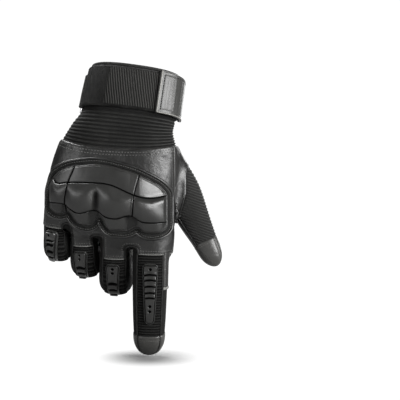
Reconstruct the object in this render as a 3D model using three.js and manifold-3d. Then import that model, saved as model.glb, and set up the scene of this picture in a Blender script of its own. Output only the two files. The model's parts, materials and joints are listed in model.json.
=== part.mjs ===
// A right-hand tactical glove as it looks when worn: cuff up, index finger pointing down,
// the other fingers curled. Millimetres, +Z up. The back of the hand faces -Y, the palm faces +Y
// and the thumb points to +X. The origin is the centre of the cuff's mouth, where the hand goes in.
// Every wall is a hollow shell, and neighbouring pieces keep a seam gap.

import * as THREE from "three";
import { mergeVertices } from "three/addons/utils/BufferGeometryUtils.js";
import Module from "manifold-3d";

const wasm = await Module();
wasm.setup();

// Driving sizes
const handLength = 130; // cuff mouth to the crotches of the fingers
const palmWidth = 98;
const palmDepth = 40;
const cuffWidth = 71;
const cuffDepth = 52;
const cuffTilt = 8; // degrees, the cuff leans towards the thumb side
const cuffLean = 13; // degrees, the cuff leans towards the palm side
const fingerLength = 109; // the index finger, knuckle to tip
const fingerWidth = 26.6;
const fingerDepth = 24;
const wall = 1.6; // leather and knit
const seamGap = 0.3;
const seatGap = 0.3; // between a piece and what it is sewn on
const ribPitch = 2.8;
const ribHeight = 0.9;
const bindingHeight = 2.4;
const bindingStandoff = 0.4;
const strapHeight = 28.8;
const strapThickness = 2;
const tabLength = 44;
const tabThickness = 1.6;
const tabOverhang = 0.8; // the tab is that much taller than the strap at both edges
const patchLength = 46; // fastening patch on the palm side
const patchThickness = 1.2;
const patchInset = 1.3;
const ringWire = 2.4;
const ringWidth = 11;
const foldLength = 7.5; // webbing folded over the ring's bars
const foldThickness = 1.2;
const foldInset = 1.6;
const loopWidth = 9;
const loopDrop = 15;
const loopThickness = 1.4;
const guardWidth = 90;
const guardHeight = 54;
const guardThickness = 2.2;
const knuckleHeight = 6.5;
const surroundGap = 1.8;
const surroundWidth = 3.6;
const surroundHeight = 1.1;
const fingerGuardWidth = 12.5;
const fingerGuardThickness = 2.4;
const sideStripWidth = 5.5;
const padLength = 15;
const padWidth = 12.5;
const padThickness = 0.7;

// Resolution
const handSides = 24;
const fingerSides = 12;
const jointSteps = 3;
const padSides = 10;

const colours = {
  leather: 0x2b2b2b,
  knit: 0x1c1c1b,
  guard: 0x343434,
  webbing: 0x222222,
  tabLeather: 0x4a4a4a,
  suede: 0x161616,
  touch: 0x2fa79b,
  metal: 0x9a9c9e,
};

const degrees = Math.PI / 180;
const vec = (x, y, z) => new THREE.Vector3(x, y, z);

// Sections of the hand, from the cuff's mouth to the crotches of the fingers.
// down: share of handLength. side: centre, share of palmWidth. rear: centre, share of palmDepth.
// wide, back, palm: half sizes, shares of cuffWidth and cuffDepth, then of palmWidth and palmDepth.
// tilt, lean: shares of cuffTilt and cuffLean.
const cuffRows = [
  { down: -0.06, side: 0.017, rear: 0.05, wide: 0.485, back: 0.49, palm: 0.49, tilt: 1, lean: 1 },
  { down: 0.0, side: 0.0, rear: 0.0, wide: 0.488, back: 0.49, palm: 0.49, tilt: 1, lean: 1 },
  { down: 0.13, side: -0.031, rear: -0.1, wide: 0.498, back: 0.49, palm: 0.49, tilt: 0.95, lean: 0.9 },
  { down: 0.26, side: -0.063, rear: -0.18, wide: 0.512, back: 0.46, palm: 0.47, tilt: 0.85, lean: 0.7 },
  { down: 0.33, side: -0.11, rear: -0.21, wide: 0.555, back: 0.42, palm: 0.45, tilt: 0.6, lean: 0.5 },
];
const palmRows = [
  { down: 0.44, side: -0.143, rear: -0.23, wide: 0.462, back: 0.51, palm: 0.55, tilt: 0.35, lean: 0.2 },
  { down: 0.55, side: -0.175, rear: -0.24, wide: 0.484, back: 0.51, palm: 0.55, tilt: 0.3, lean: 0 },
  { down: 0.67, side: -0.205, rear: -0.25, wide: 0.5, back: 0.5, palm: 0.5, tilt: 0.6, lean: 0 },
  { down: 0.79, side: -0.219, rear: -0.26, wide: 0.515, back: 0.46, palm: 0.46, tilt: 1.1, lean: 0 },
  { down: 0.9, side: -0.222, rear: -0.24, wide: 0.525, back: 0.38, palm: 0.42, tilt: 1.5, lean: 0 },
  { down: 1.0, side: -0.225, rear: -0.2, wide: 0.52, back: 0.27, palm: 0.32, tilt: 1.8, lean: 0 },
];
const handPower = 2.5; // roundness of the hand's sections: 2 is an ellipse, more is squarer
const fingerPower = 2.3;

// Places along the hand, as shares of handLength
const mouth = 0;
const bindingEnd = mouth + bindingHeight / handLength;
const strapTop = bindingEnd + seamGap / handLength;
const strapBottom = strapTop + strapHeight / handLength;
const strapStations = [strapTop, (strapTop + strapBottom) / 2, strapBottom];
const wristSeam = 0.415; // where knit meets leather at the sides
const wristSeamDip = 0.04; // the seam runs that much lower in the middle of the back
const handStations = [0.5, 0.59, 0.68, 0.77, 0.86, 0.94];

// Places around the cuff: 0 is the thumb side, 90 degrees the palm, -90 degrees the back
const cuffRadius = (cuffWidth + cuffDepth) / 4;
const tabAngle = -58 * degrees;
const patchAngle = 40 * degrees;
const loopAngle = 92 * degrees;
const ringAngle = 150 * degrees;

// Fingers. side, down, rear: the knuckle, as shares of palmWidth, handLength and palmDepth.
// long, wide, deep: shares of fingerLength, fingerWidth and fingerDepth.
// splay leans the finger to +X, turn faces its back to -X, bends are at its three joints, in degrees.
// bones, cut, guard: its three lengths, the seam of leather and knit, and the guard's ends,
// as shares of the finger's length. guardTurn: degrees round the finger to -X.
const fingers = {
  index: {
    side: 0.115, down: 0.862, rear: -0.3, long: 1, wide: 1.03, deep: 1, bones: [0.45, 0.275, 0.275],
    splay: -1.2, turn: 0, bends: [4, 4, 4], cut: 0.25, guard: [0.31, 0.74], guardTurn: 0,
  },
  middle: {
    side: -0.167, down: 0.83, rear: -0.32, long: 1.046, wide: 0.92, deep: 1, bones: [0.49, 0.272, 0.238],
    splay: -1.5, turn: 2, bends: [17, 86, 58], cut: 0.3, guard: [0.33, 0.55], guardTurn: 0,
  },
  ring: {
    side: -0.428, down: 0.77, rear: -0.3, long: 0.99, wide: 0.84, deep: 0.94, bones: [0.49, 0.27, 0.24],
    splay: 0, turn: 3, bends: [22, 84, 58], cut: 0.3, guard: [0.33, 0.55], guardTurn: 5,
  },
  little: {
    side: -0.636, down: 0.71, rear: -0.28, long: 0.853, wide: 0.76, deep: 0.82, bones: [0.495, 0.258, 0.247],
    splay: -2.5, turn: 5, bends: [17, 84, 56], cut: 0.27, guard: [0.34, 0.58], guardTurn: 19,
  },
};
const jointShare = 0.082; // a joint bends over this share of the finger's length on both sides
const capShare = 0.2; // part of a finger's length that its leather tip covers
const tipStations = [0.88, 0.95, 0.99];

// Half sizes along a finger, as shares of its own: a little waist and a round tip.
const fingerTaper = [
  { down: 0, size: 0.96 },
  { down: 0.3, size: 1 },
  { down: 0.5, size: 0.99 },
  { down: 0.72, size: 0.94 },
  { down: 0.86, size: 0.86 },
  { down: 0.94, size: 0.68 },
  { down: 0.985, size: 0.38 },
  { down: 1, size: 0.2 },
];

// Thumb. down, side, rear: its centre line, wide, deep: its half sizes,
// as shares of handLength, palmWidth and palmDepth.
const thumbRows = [
  { down: 0.42, side: 0.15, rear: 0.03, wide: 0.097, deep: 0.281 },
  { down: 0.5, side: 0.206, rear: 0.07, wide: 0.129, deep: 0.32 },
  { down: 0.62, side: 0.294, rear: 0.1, wide: 0.143, deep: 0.33 },
  { down: 0.722, side: 0.367, rear: 0.1, wide: 0.143, deep: 0.315 },
  { down: 0.865, side: 0.447, rear: 0.06, wide: 0.128, deep: 0.291 },
  { down: 0.995, side: 0.533, rear: 0.02, wide: 0.101, deep: 0.243 },
  { down: 1.072, side: 0.582, rear: 0, wide: 0.081, deep: 0.194 },
  { down: 1.125, side: 0.62, rear: -0.02, wide: 0.058, deep: 0.136 },
];
const thumbTip = { down: 1.157, side: 0.642, rear: -0.03 };
const thumbCapStart = 1.01; // share of handLength
const gussetSeam = 0.297; // share of palmWidth, where the gusset meets the back
// The curved seam where the ribbed thumb meets the gusset
const thumbSeamRows = [
  { down: -2, side: 0.33 },
  { down: 0.45, side: 0.33 },
  { down: 0.58, side: 0.385 },
  { down: 0.72, side: 0.39 },
  { down: 0.88, side: 0.31 },
  { down: 0.95, side: 0.27 },
  { down: 3, side: 0.27 },
];

// Knuckle guard: stations across it, from the little finger to the index finger.
// x, top, bottom: shares of guardWidth and guardHeight. bulge: share of knuckleHeight.
const guardSide = -0.219; // centre of the guard, share of palmWidth
const guardTop = 0.535; // top of the guard, share of handLength
const guardRows = [
  { x: -0.5, top: -0.31, bottom: -0.64, bulge: 0.15 },
  { x: -0.46, top: -0.19, bottom: -0.7, bulge: 0.55 },
  { x: -0.41, top: -0.11, bottom: -0.72, bulge: 0.8 },
  { x: -0.36, top: -0.07, bottom: -0.7, bulge: 0.55 },
  { x: -0.33, top: -0.05, bottom: -0.68, bulge: 0.1 },
  { x: -0.27, top: -0.025, bottom: -0.83, bulge: 0.8 },
  { x: -0.2, top: -0.01, bottom: -0.88, bulge: 1 },
  { x: -0.125, top: 0, bottom: -0.87, bulge: 0.75 },
  { x: -0.066, top: -0.005, bottom: -0.75, bulge: 0 },
  { x: 0.0, top: -0.02, bottom: -0.93, bulge: 0.8 },
  { x: 0.095, top: -0.06, bottom: -0.965, bulge: 1 },
  { x: 0.18, top: -0.1, bottom: -0.96, bulge: 0.75 },
  { x: 0.25, top: -0.14, bottom: -0.91, bulge: 0.1 },
  { x: 0.31, top: -0.19, bottom: -0.985, bulge: 0.75 },
  { x: 0.38, top: -0.25, bottom: -1.0, bulge: 0.9 },
  { x: 0.45, top: -0.33, bottom: -0.98, bulge: 0.6 },
  { x: 0.5, top: -0.43, bottom: -0.92, bulge: 0.1 },
];
// The guard from its top edge to its bottom edge: flat brow, knuckle and skirt.
// rise, knuckle: shares of guardThickness and of the station's bulge.
const guardProfile = [
  { along: 0, rise: 0.1, knuckle: 0 },
  { along: 0.05, rise: 1, knuckle: 0.05 },
  { along: 0.2, rise: 1.05, knuckle: 0.2 },
  { along: 0.38, rise: 1.05, knuckle: 0.72 },
  { along: 0.55, rise: 1, knuckle: 1 },
  { along: 0.7, rise: 1, knuckle: 0.82 },
  { along: 0.8, rise: 1, knuckle: 0.4 },
  { along: 0.95, rise: 0.9, knuckle: 0.12 },
  { along: 1, rise: 0.1, knuckle: 0 },
];

// Patches on the palm. left, right: shares of palmWidth. down: share of handLength.
const palmPatchRows = [
  { down: 0.5, left: -0.45, right: 0.0 },
  { down: 0.6, left: -0.58, right: -0.02 },
  { down: 0.7, left: -0.62, right: 0.02 },
  { down: 0.8, left: -0.64, right: 0.16 },
  { down: 0.88, left: -0.62, right: 0.2 },
  { down: 0.95, left: -0.56, right: 0.2 },
];
const thumbPatchRows = [
  { down: 0.52, left: 0.06, right: 0.11 },
  { down: 0.6, left: 0.05, right: 0.17 },
  { down: 0.68, left: 0.08, right: 0.24 },
  { down: 0.76, left: 0.15, right: 0.27 },
];

// A point on a table of rows, at share t of its column "down", by a smooth curve through the rows.
function rowAt(rows, t) {
  const last = rows.length - 1;
  let i = rows.findIndex((row) => row.down > t) - 1;
  if (i < -1) i = last - 1;
  i = Math.min(Math.max(i, 0), last - 1);
  const before = rows[Math.max(i - 1, 0)];
  const from = rows[i];
  const to = rows[i + 1];
  const after = rows[Math.min(i + 2, last)];
  const span = to.down - from.down;
  const s = (t - from.down) / span;
  const row = {};
  for (const key of Object.keys(from)) {
    const slopeIn = ((to[key] - before[key]) / (to.down - before.down)) * span;
    const slopeOut = ((after[key] - from[key]) / (after.down - from.down)) * span;
    row[key] =
      from[key] * (2 * s ** 3 - 3 * s ** 2 + 1) +
      slopeIn * (s ** 3 - 2 * s ** 2 + s) +
      to[key] * (-2 * s ** 3 + 3 * s ** 2) +
      slopeOut * (s ** 3 - s ** 2);
  }
  return row;
}

// The hand's sections in millimetres and degrees.
const sections = [
  ...cuffRows.map((row) => sectionOf(row, cuffWidth, cuffDepth)),
  ...palmRows.map((row) => sectionOf(row, palmWidth, palmDepth)),
];

function sectionOf(row, width, depth) {
  return {
    down: row.down,
    x: row.side * palmWidth,
    y: row.rear * palmDepth,
    wide: row.wide * width,
    back: row.back * depth,
    palm: row.palm * depth,
    tilt: row.tilt * cuffTilt,
    lean: row.lean * cuffLean,
  };
}

const signedPower = (value, power) => Math.sign(value) * Math.abs(value) ** power;

// A point on the hand's outer surface moved out by grow.
// around is 0 at the thumb side and 90 degrees at the palm.
function handPoint(t, around, grow) {
  const s = rowAt(sections, t);
  const tilt = s.tilt * degrees;
  const lean = s.lean * degrees;
  const up = vec(Math.sin(tilt) * Math.cos(lean), Math.sin(lean), Math.cos(tilt) * Math.cos(lean));
  const across = vec(Math.cos(tilt), 0, -Math.sin(tilt));
  const rearward = up.clone().cross(across);
  const cos = signedPower(Math.cos(around), 2 / handPower);
  const sin = signedPower(Math.sin(around), 2 / handPower);
  const deep = sin < 0 ? s.back : s.palm;
  return vec(s.x, s.y, -t * handLength)
    .addScaledVector(across, (s.wide + grow) * cos)
    .addScaledVector(rearward, (deep + grow) * sin);
}

const ring = (sides, place) => Array.from({ length: sides }, (_, i) => place((i / sides) * 2 * Math.PI));
const handRing = (t, grow) => ring(handSides, (a) => handPoint(typeof t === "function" ? t(a) : t, a, grow));

// A finger as a path with a frame and a size at each point: at the joints the path turns through three steps.
function fingerPath(f) {
  const down = vec(Math.sin(f.splay * degrees), 0, -Math.cos(f.splay * degrees));
  const curl = vec(Math.sin(f.turn * degrees), Math.cos(f.turn * degrees), 0);
  curl.addScaledVector(down, -curl.dot(down)).normalize();
  const across = down.clone().cross(curl);
  const total = f.long * fingerLength;
  const curve = jointShare * total;
  const points = [];
  let at = vec(f.side * palmWidth, f.rear * palmDepth, -f.down * handLength);
  let bend = f.bends[0];
  let along = 0;
  const push = () => {
    const a = bend * degrees;
    const ahead = down.clone().multiplyScalar(Math.cos(a)).addScaledVector(curl, Math.sin(a));
    const back = down.clone().multiplyScalar(Math.sin(a)).addScaledVector(curl, -Math.cos(a));
    points.push({ at: at.clone(), ahead, back, across, share: along / total });
    return ahead;
  };
  f.bones.forEach((bone, i) => {
    const turn = (f.bends[i + 1] ?? 0) / jointSteps;
    const straight = bone * total - (i > 0 ? curve : 0) - (i < 2 ? curve : 0);
    const ahead = push();
    at.addScaledVector(ahead, straight);
    along += straight;
    if (i === 2) {
      push();
      return;
    }
    for (let step = 0; step < jointSteps; step++) {
      bend += turn / 2;
      const a = bend * degrees;
      const go = down.clone().multiplyScalar(Math.cos(a)).addScaledVector(curl, Math.sin(a));
      if (step === 0) {
        points.push({ ...points[points.length - 1], at: at.clone(), share: along / total });
      }
      at.addScaledVector(go, (2 * curve) / jointSteps);
      along += (2 * curve) / jointSteps;
      bend += turn / 2;
      if (step < jointSteps - 1) push();
    }
  });
  return points;
}

// The frame at a share of the finger's length, between the path's points.
function pathAt(path, share) {
  let i = path.findIndex((p) => p.share >= share);
  if (i < 0) i = path.length - 1;
  i = Math.max(i, 1);
  const [p, q] = [path[i - 1], path[i]];
  const s = q.share > p.share ? (share - p.share) / (q.share - p.share) : 0;
  return {
    at: p.at.clone().lerp(q.at, s),
    ahead: p.ahead.clone().lerp(q.ahead, s).normalize(),
    back: p.back.clone().lerp(q.back, s).normalize(),
    across: p.across,
  };
}

function fingerPoint(f, share, around, grow) {
  const p = pathAt(f.path, share);
  const size = rowAt(fingerTaper, share).size;
  const cos = signedPower(Math.cos(around), 2 / fingerPower);
  const sin = signedPower(Math.sin(around), 2 / fingerPower);
  return p.at
    .addScaledVector(p.across, Math.max((size * f.wide * fingerWidth) / 2 + grow, 0.4) * cos)
    .addScaledVector(p.back, -Math.max((size * f.deep * fingerDepth) / 2 + grow, 0.4) * sin);
}
const fingerRing = (f, share, grow) => ring(fingerSides, (a) => fingerPoint(f, share, a, grow));
const sharesBetween = (f, from, to) => [
  from,
  ...f.stations.filter((s) => s > from + 0.02 && s < to - 0.02),
  to,
];

// The thumb, in the same way, straight through its rows
function thumbPoint(t, around, grow) {
  const s = rowAt(thumbRows, t);
  const ahead = rowAt(thumbRows, t + 0.01);
  const axis = vec(
    (ahead.side - s.side) * palmWidth,
    (ahead.rear - s.rear) * palmDepth,
    -(ahead.down - s.down) * handLength,
  ).normalize();
  const rearward = vec(0, 1, 0).addScaledVector(axis, -axis.y).normalize();
  const across = axis.clone().cross(rearward).negate();
  const cos = signedPower(Math.cos(around), 2 / fingerPower);
  const sin = signedPower(Math.sin(around), 2 / fingerPower);
  return vec(s.side * palmWidth, s.rear * palmDepth, -s.down * handLength)
    .addScaledVector(across, (s.wide * palmWidth + grow) * cos)
    .addScaledVector(rearward, (s.deep * palmDepth + grow) * sin);
}
const thumbRing = (t, grow) => ring(fingerSides, (a) => thumbPoint(t, a, grow));
const thumbEnd = (inset) =>
  vec(thumbTip.side * palmWidth, thumbTip.rear * palmDepth, -thumbTip.down * handLength + inset);

// Meshes from rings: consecutive rings are joined.
// The ends are closed by a pole, or the last ring meets the first.
function loft(rings, { loop = false, startPole, endPole } = {}) {
  const n = rings[0].length;
  const points = rings.flat();
  const faces = [];
  const last = rings.length - (loop ? 0 : 1);
  for (let r = 0; r < last; r++) {
    for (let i = 0; i < n; i++) {
      const a = r * n + i;
      const b = r * n + ((i + 1) % n);
      const c = ((r + 1) % rings.length) * n + i;
      const d = ((r + 1) % rings.length) * n + ((i + 1) % n);
      faces.push([a, b, d], [a, d, c]);
    }
  }
  if (!loop) {
    points.push(startPole ?? middle(rings[0]), endPole ?? middle(rings[rings.length - 1]));
    for (let i = 0; i < n; i++) {
      faces.push([(i + 1) % n, i, points.length - 2]);
      const base = (rings.length - 1) * n;
      faces.push([base + i, base + ((i + 1) % n), points.length - 1]);
    }
  }
  return meshOf(points, faces);
}
const middle = (points) => points.reduce((sum, p) => sum.add(p), vec(0, 0, 0)).divideScalar(points.length);

// A closed sheet between two grids of points of the same size.
function sheet(outer, inner) {
  const rows = outer.length;
  const columns = outer[0].length;
  const points = [...outer.flat(), ...inner.flat()];
  const faces = [];
  const id = (side, r, c) => side * rows * columns + r * columns + c;
  for (let r = 0; r < rows - 1; r++) {
    for (let c = 0; c < columns - 1; c++) {
      const [a, b] = [id(0, r, c), id(0, r, c + 1)];
      const [d, e] = [id(0, r + 1, c + 1), id(0, r + 1, c)];
      faces.push([a, b, d], [a, d, e]);
      const under = id(1, 0, 0);
      faces.push([a + under, d + under, b + under], [a + under, e + under, d + under]);
    }
  }
  const edge = [];
  for (let c = 0; c < columns - 1; c++) edge.push([0, c]);
  for (let r = 0; r < rows - 1; r++) edge.push([r, columns - 1]);
  for (let c = columns - 1; c > 0; c--) edge.push([rows - 1, c]);
  for (let r = rows - 1; r > 0; r--) edge.push([r, 0]);
  edge.forEach(([r, c], i) => {
    const [r2, c2] = edge[(i + 1) % edge.length];
    faces.push([id(0, r, c), id(1, r, c), id(1, r2, c2)], [id(0, r, c), id(1, r2, c2), id(0, r2, c2)]);
  });
  return meshOf(points, faces);
}

// An indexed geometry whose faces point outwards.
function meshOf(points, faces) {
  let volume = 0;
  for (const [a, b, c] of faces) volume += points[a].dot(points[b].clone().cross(points[c]));
  const turned = volume < 0 ? faces.map(([a, b, c]) => [a, c, b]) : faces;
  const geometry = new THREE.BufferGeometry();
  const places = points.flatMap((p) => p.toArray());
  geometry.setAttribute("position", new THREE.Float32BufferAttribute(places, 3));
  geometry.setIndex(turned.flat());
  return geometry;
}

// Booleans
function solid(geometry) {
  const bare = new THREE.BufferGeometry();
  bare.setAttribute("position", geometry.getAttribute("position"));
  bare.setIndex(geometry.index);
  const merged = mergeVertices(bare, 1e-4);
  return new wasm.Manifold(
    new wasm.Mesh({
      numProp: 3,
      vertProperties: merged.attributes.position.array,
      triVerts: new Uint32Array(merged.index.array),
    }),
  );
}
function geometryOf(manifold) {
  const mesh = manifold.getMesh();
  const geometry = new THREE.BufferGeometry();
  geometry.setAttribute("position", new THREE.Float32BufferAttribute(mesh.vertProperties, 3));
  geometry.setIndex(new THREE.BufferAttribute(mesh.triVerts, 1));
  return geometry;
}
const unite = (solids) => solids.reduce((a, b) => a.add(b));
const largest = (manifold) => manifold.decompose().reduce((a, b) => (a.volume() > b.volume() ? a : b));
function block(low, high) {
  const size = high.clone().sub(low);
  const box = new THREE.BoxGeometry(size.x, size.y, size.z);
  box.translate((low.x + high.x) / 2, (low.y + high.y) / 2, (low.z + high.z) / 2);
  return solid(box);
}
const far = 400;

// Prepared fingers: the path, and the shares of their length where a section is needed.
for (const f of Object.values(fingers)) {
  f.path = fingerPath(f);
  f.length = f.long * fingerLength;
  f.stations = [...new Set([...f.path.map((p) => p.share), ...tipStations])].sort((a, b) => a - b);
}

// The seam between the ribbed wrist and the leather, lower in the middle of the back.
const seamAt = (shift) => (around) =>
  wristSeam + wristSeamDip * Math.max(-Math.sin(around), 0) ** 2 + shift / handLength;

// The whole hand from the wrist seam to the cuts of the fingers, moved out by grow.
function handSolid(grow, extra) {
  const end = 1 + grow / handLength;
  const start = handRing(seamAt(seamGap / 2 - extra), grow);
  const body = loft([start, ...handStations.map((t) => handRing(t, grow)), handRing(end, grow)]);
  const roots = Object.values(fingers).map((f) => {
    const to = f.cut + (extra - seamGap / 2) / f.length;
    return loft([fingerRing(f, 0, grow), fingerRing(f, to, grow)]);
  });
  const thumb = loft(thumbRows.slice(1, 5).map((row) => thumbRing(row.down, grow)));
  return unite([body, ...roots, thumb].map(solid));
}
const handOuter = handSolid(0, 0);
const handInner = handSolid(-wall, wall * 4);
const sleeveSpace = unite(
  Object.values(fingers).map((f) => {
    const shares = sharesBetween(f, f.cut - seamGap / 2 / f.length, 1);
    return solid(loft(shares.map((s) => fingerRing(f, s, seamGap))));
  }),
);
const handWall = handOuter.subtract(handInner).subtract(sleeveSpace);
const seat = handSolid(seatGap, 0); // what is sewn on the hand lies on this surface
const seatMesh = seat.getMesh();
const gussetCut = gussetSeam * palmWidth;
const slab = (from, to) => block(vec(from, -far, -far), vec(to, far, far));

// What lies beyond the seam between the ribbed thumb and its gusset, moved to +X by shift
function beyondThumbSeam(shift) {
  const corners = (row) => [row.side * palmWidth + shift, far];
  const grid = (y) => thumbSeamRows.map((row) => corners(row).map((x) => vec(x, y, -row.down * handLength)));
  return solid(sheet(grid(-far), grid(far)));
}

// The seam along the sides of the hand and fingers, a thin sheet between back and palm.
function sideSeam() {
  const line = sections.filter((s) => s.down > 0.3).map((s) => [s.y, -s.down * handLength]);
  line.push([line[line.length - 1][0] + palmDepth * 0.1, -handLength * 1.3]);
  const grid = (shift) => line.map(([y, z]) => [vec(-far, y + shift, z), vec(far, y + shift, z)]);
  return solid(sheet(grid(-seamGap / 2), grid(seamGap / 2)));
}
const leftHand = handWall.intersect(slab(-far, gussetCut - seamGap / 2));
const pieces = leftHand.subtract(sideSeam()).decompose();
const halves = pieces.sort((a, b) => b.volume() - a.volume()).slice(0, 2);
const frontmost = (manifold) => manifold.boundingBox().min[1];
const [backHalf, palmHalf] = halves.sort((a, b) => frontmost(a) - frontmost(b));
const thumbSide = handWall.intersect(slab(gussetCut + seamGap / 2, far));
const gusset = largest(thumbSide.subtract(beyondThumbSeam(-seamGap / 2)));

// The thumb beyond its seam, and its cap
const thumbStations = thumbRows.map((row) => row.down);
function thumbWall() {
  const to = thumbCapStart - seamGap / handLength;
  const stations = [...thumbStations.filter((t) => t < to), to];
  const outer = solid(loft(stations.map((t) => thumbRing(t, 0))));
  const inner = solid(loft([...stations, to + wall / handLength].map((t) => thumbRing(t, -wall))));
  return largest(outer.subtract(inner).intersect(beyondThumbSeam(seamGap / 2)));
}
function thumbCapWall() {
  const stations = [thumbCapStart, ...thumbStations.filter((t) => t > thumbCapStart)];
  const outer = stations.map((t) => thumbRing(t, 0));
  const inner = stations.map((t) => thumbRing(t, -wall));
  return loft([...outer.reverse(), ...inner], { startPole: thumbEnd(0), endPole: thumbEnd(wall * 1.5) });
}

// A finger's knit sleeve and leather cap
function fingerSleeve(f) {
  const to = 1 - capShare - seamGap / f.length / 2;
  const shares = sharesBetween(f, f.cut + seamGap / f.length / 2, to);
  const outer = shares.map((s) => fingerRing(f, s, 0));
  const inner = shares.map((s) => fingerRing(f, s, -wall));
  return loft([...outer, ...inner.reverse()], { loop: true });
}
function fingerCap(f) {
  const shares = sharesBetween(f, 1 - capShare + seamGap / f.length / 2, 1);
  const innerShares = shares.map((s) => Math.min(s, 1 - (wall * 1.2) / f.length));
  const outer = shares.map((s) => fingerRing(f, s, 0));
  const inner = innerShares.map((s) => fingerRing(f, s, -wall));
  return loft([...outer.reverse(), ...inner]);
}

// Finger guards: a raised pad along the back of the finger, with round ends, a rim and cross ribs.
// along: share of the guard's length.
// rim, rib: heights at the rim and inside it, as shares of fingerGuardThickness.
const fingerGuardRows = [
  { along: 0, rim: 0.45, rib: 0.45 },
  { along: 0.04, rim: 1, rib: 1 },
  { along: 0.3, rim: 1, rib: 0.68 },
  { along: 0.36, rim: 1, rib: 1 },
  { along: 0.42, rim: 1, rib: 0.68 },
  { along: 0.48, rim: 1, rib: 1 },
  { along: 0.54, rim: 1, rib: 0.68 },
  { along: 0.6, rim: 1, rib: 1 },
  { along: 0.66, rim: 1, rib: 0.68 },
  { along: 0.72, rim: 1, rib: 1 },
  { along: 0.88, rim: 1, rib: 1 },
  { along: 0.96, rim: 1, rib: 1 },
  { along: 1, rim: 0.45, rib: 0.45 },
];
// across: share of the half width. edge: share of the rim's height, 0 inside the rim.
const fingerGuardColumns = [
  { across: -1, edge: 0.45 },
  { across: -0.72, edge: 1 },
  { across: -0.4, edge: 0 },
  { across: 0, edge: 0 },
  { across: 0.4, edge: 0 },
  { across: 0.72, edge: 1 },
  { across: 1, edge: 0.45 },
];
const guardNarrowing = 0.3; // share of its width that the guard loses towards the fingertip
function fingerGuard(f) {
  const [from, to] = f.guard;
  const radius = (f.wide * fingerWidth) / 2;
  const centre = -Math.PI / 2 - f.guardTurn * degrees;
  const roundEnd = (v) => Math.sqrt(1 - 0.75 * Math.abs(2 * v - 1) ** 8);
  const half = (v) => (fingerGuardWidth / 2) * (1 - guardNarrowing * v) * roundEnd(v);
  const grid = (raised) =>
    fingerGuardRows.map((row) =>
      fingerGuardColumns.map((column) => {
        const share = from + (to - from) * row.along;
        const around = centre + (column.across * half(row.along)) / radius;
        const height = column.edge > 0 ? Math.min(column.edge, row.rim) : row.rib;
        return fingerPoint(f, share, around, guardSeat + (raised ? height * fingerGuardThickness : 0));
      }),
    );
  return sheet(grid(true), grid(false));
}
const guardSeat = 1.5 * seatGap; // flat faces span the finger's round back

// Leather strip along the thumb side of the index finger, down from the leather of the hand
const sideStripEnd = 0.49;
const sideStripAngle = -0.25;
function sideStrip(f) {
  const shares = sharesBetween(f, f.cut, sideStripEnd);
  const halfAngle = sideStripWidth / fingerDepth;
  const place = (share, u, grow) => fingerPoint(f, share, sideStripAngle + u * halfAngle, seatGap + grow);
  const grid = (grow) => shares.map((share) => [-1, 0, 1].map((u) => place(share, u, grow)));
  return largest(solid(sheet(grid(patchThickness), grid(0))).subtract(seat));
}

// Oval touch pads on the palm side of a fingertip
const fingerPadPlace = 0.885; // share of the finger's length
const thumbPadPlace = 1.055; // share of handLength
const thumbPadAngle = 126 * degrees;
const thumbPadSize = 0.82; // the thumb's pad against a finger's
function ovalPad(place, size) {
  const oval = (scale, height) =>
    ring(padSides, (a) => {
      const along = (scale * size * padLength * Math.cos(a)) / 2;
      const across = (scale * size * padWidth * Math.sin(a)) / 2;
      return place(along, across, seatGap + height);
    });
  const middleOval = 0.6;
  const top = [oval(middleOval, padThickness), oval(1, padThickness)];
  const bottom = [oval(1, 0), oval(middleOval, 0)];
  return loft([...top, ...bottom]);
}
function fingerPad(f) {
  const radius = (f.wide * fingerWidth) / 2;
  const place = (along, across, grow) =>
    fingerPoint(f, fingerPadPlace + along / f.length, Math.PI / 2 + across / radius, grow);
  return ovalPad(place, 1);
}
function thumbPad() {
  const radius = rowAt(thumbRows, thumbPadPlace).wide * palmWidth;
  const place = (along, across, grow) =>
    thumbPoint(thumbPadPlace + along / handLength, thumbPadAngle + across / radius, grow);
  return ovalPad(place, thumbPadSize);
}

// Where a line along Y meets the hand: the front is its lowest Y, the rear its highest.
// Past the hand's edge it is the nearest point inside the edge.
function surfaceY(x, z, front) {
  const middleX = rowAt(sections, -z / handLength).x;
  for (let share = 1; share > 0; share -= 0.02) {
    const y = hitY(middleX + (x - middleX) * share, z, front);
    if (Number.isFinite(y)) return y;
  }
  throw new Error("the line misses the hand");
}
function hitY(x, z, front) {
  const v = seatMesh.vertProperties;
  const t = seatMesh.triVerts;
  let found = front ? Infinity : -Infinity;
  for (let i = 0; i < t.length; i += 3) {
    const [a, b, c] = [t[i] * 3, t[i + 1] * 3, t[i + 2] * 3];
    const det = (v[b] - v[a]) * (v[c + 2] - v[a + 2]) - (v[c] - v[a]) * (v[b + 2] - v[a + 2]);
    if (Math.abs(det) < 1e-9) continue;
    const p = ((x - v[a]) * (v[c + 2] - v[a + 2]) - (v[c] - v[a]) * (z - v[a + 2])) / det;
    const q = ((v[b] - v[a]) * (z - v[a + 2]) - (x - v[a]) * (v[b + 2] - v[a + 2])) / det;
    if (p < -1e-6 || q < -1e-6 || p + q > 1 + 1e-6) continue;
    const y = v[a + 1] + p * (v[b + 1] - v[a + 1]) + q * (v[c + 1] - v[a + 1]);
    found = front ? Math.min(found, y) : Math.max(found, y);
  }
  return found;
}
function guardPlace(row, along) {
  const height = row.top + (row.bottom - row.top) * along;
  return [guardSide * palmWidth + row.x * guardWidth, -guardTop * handLength + height * guardHeight];
}

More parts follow.
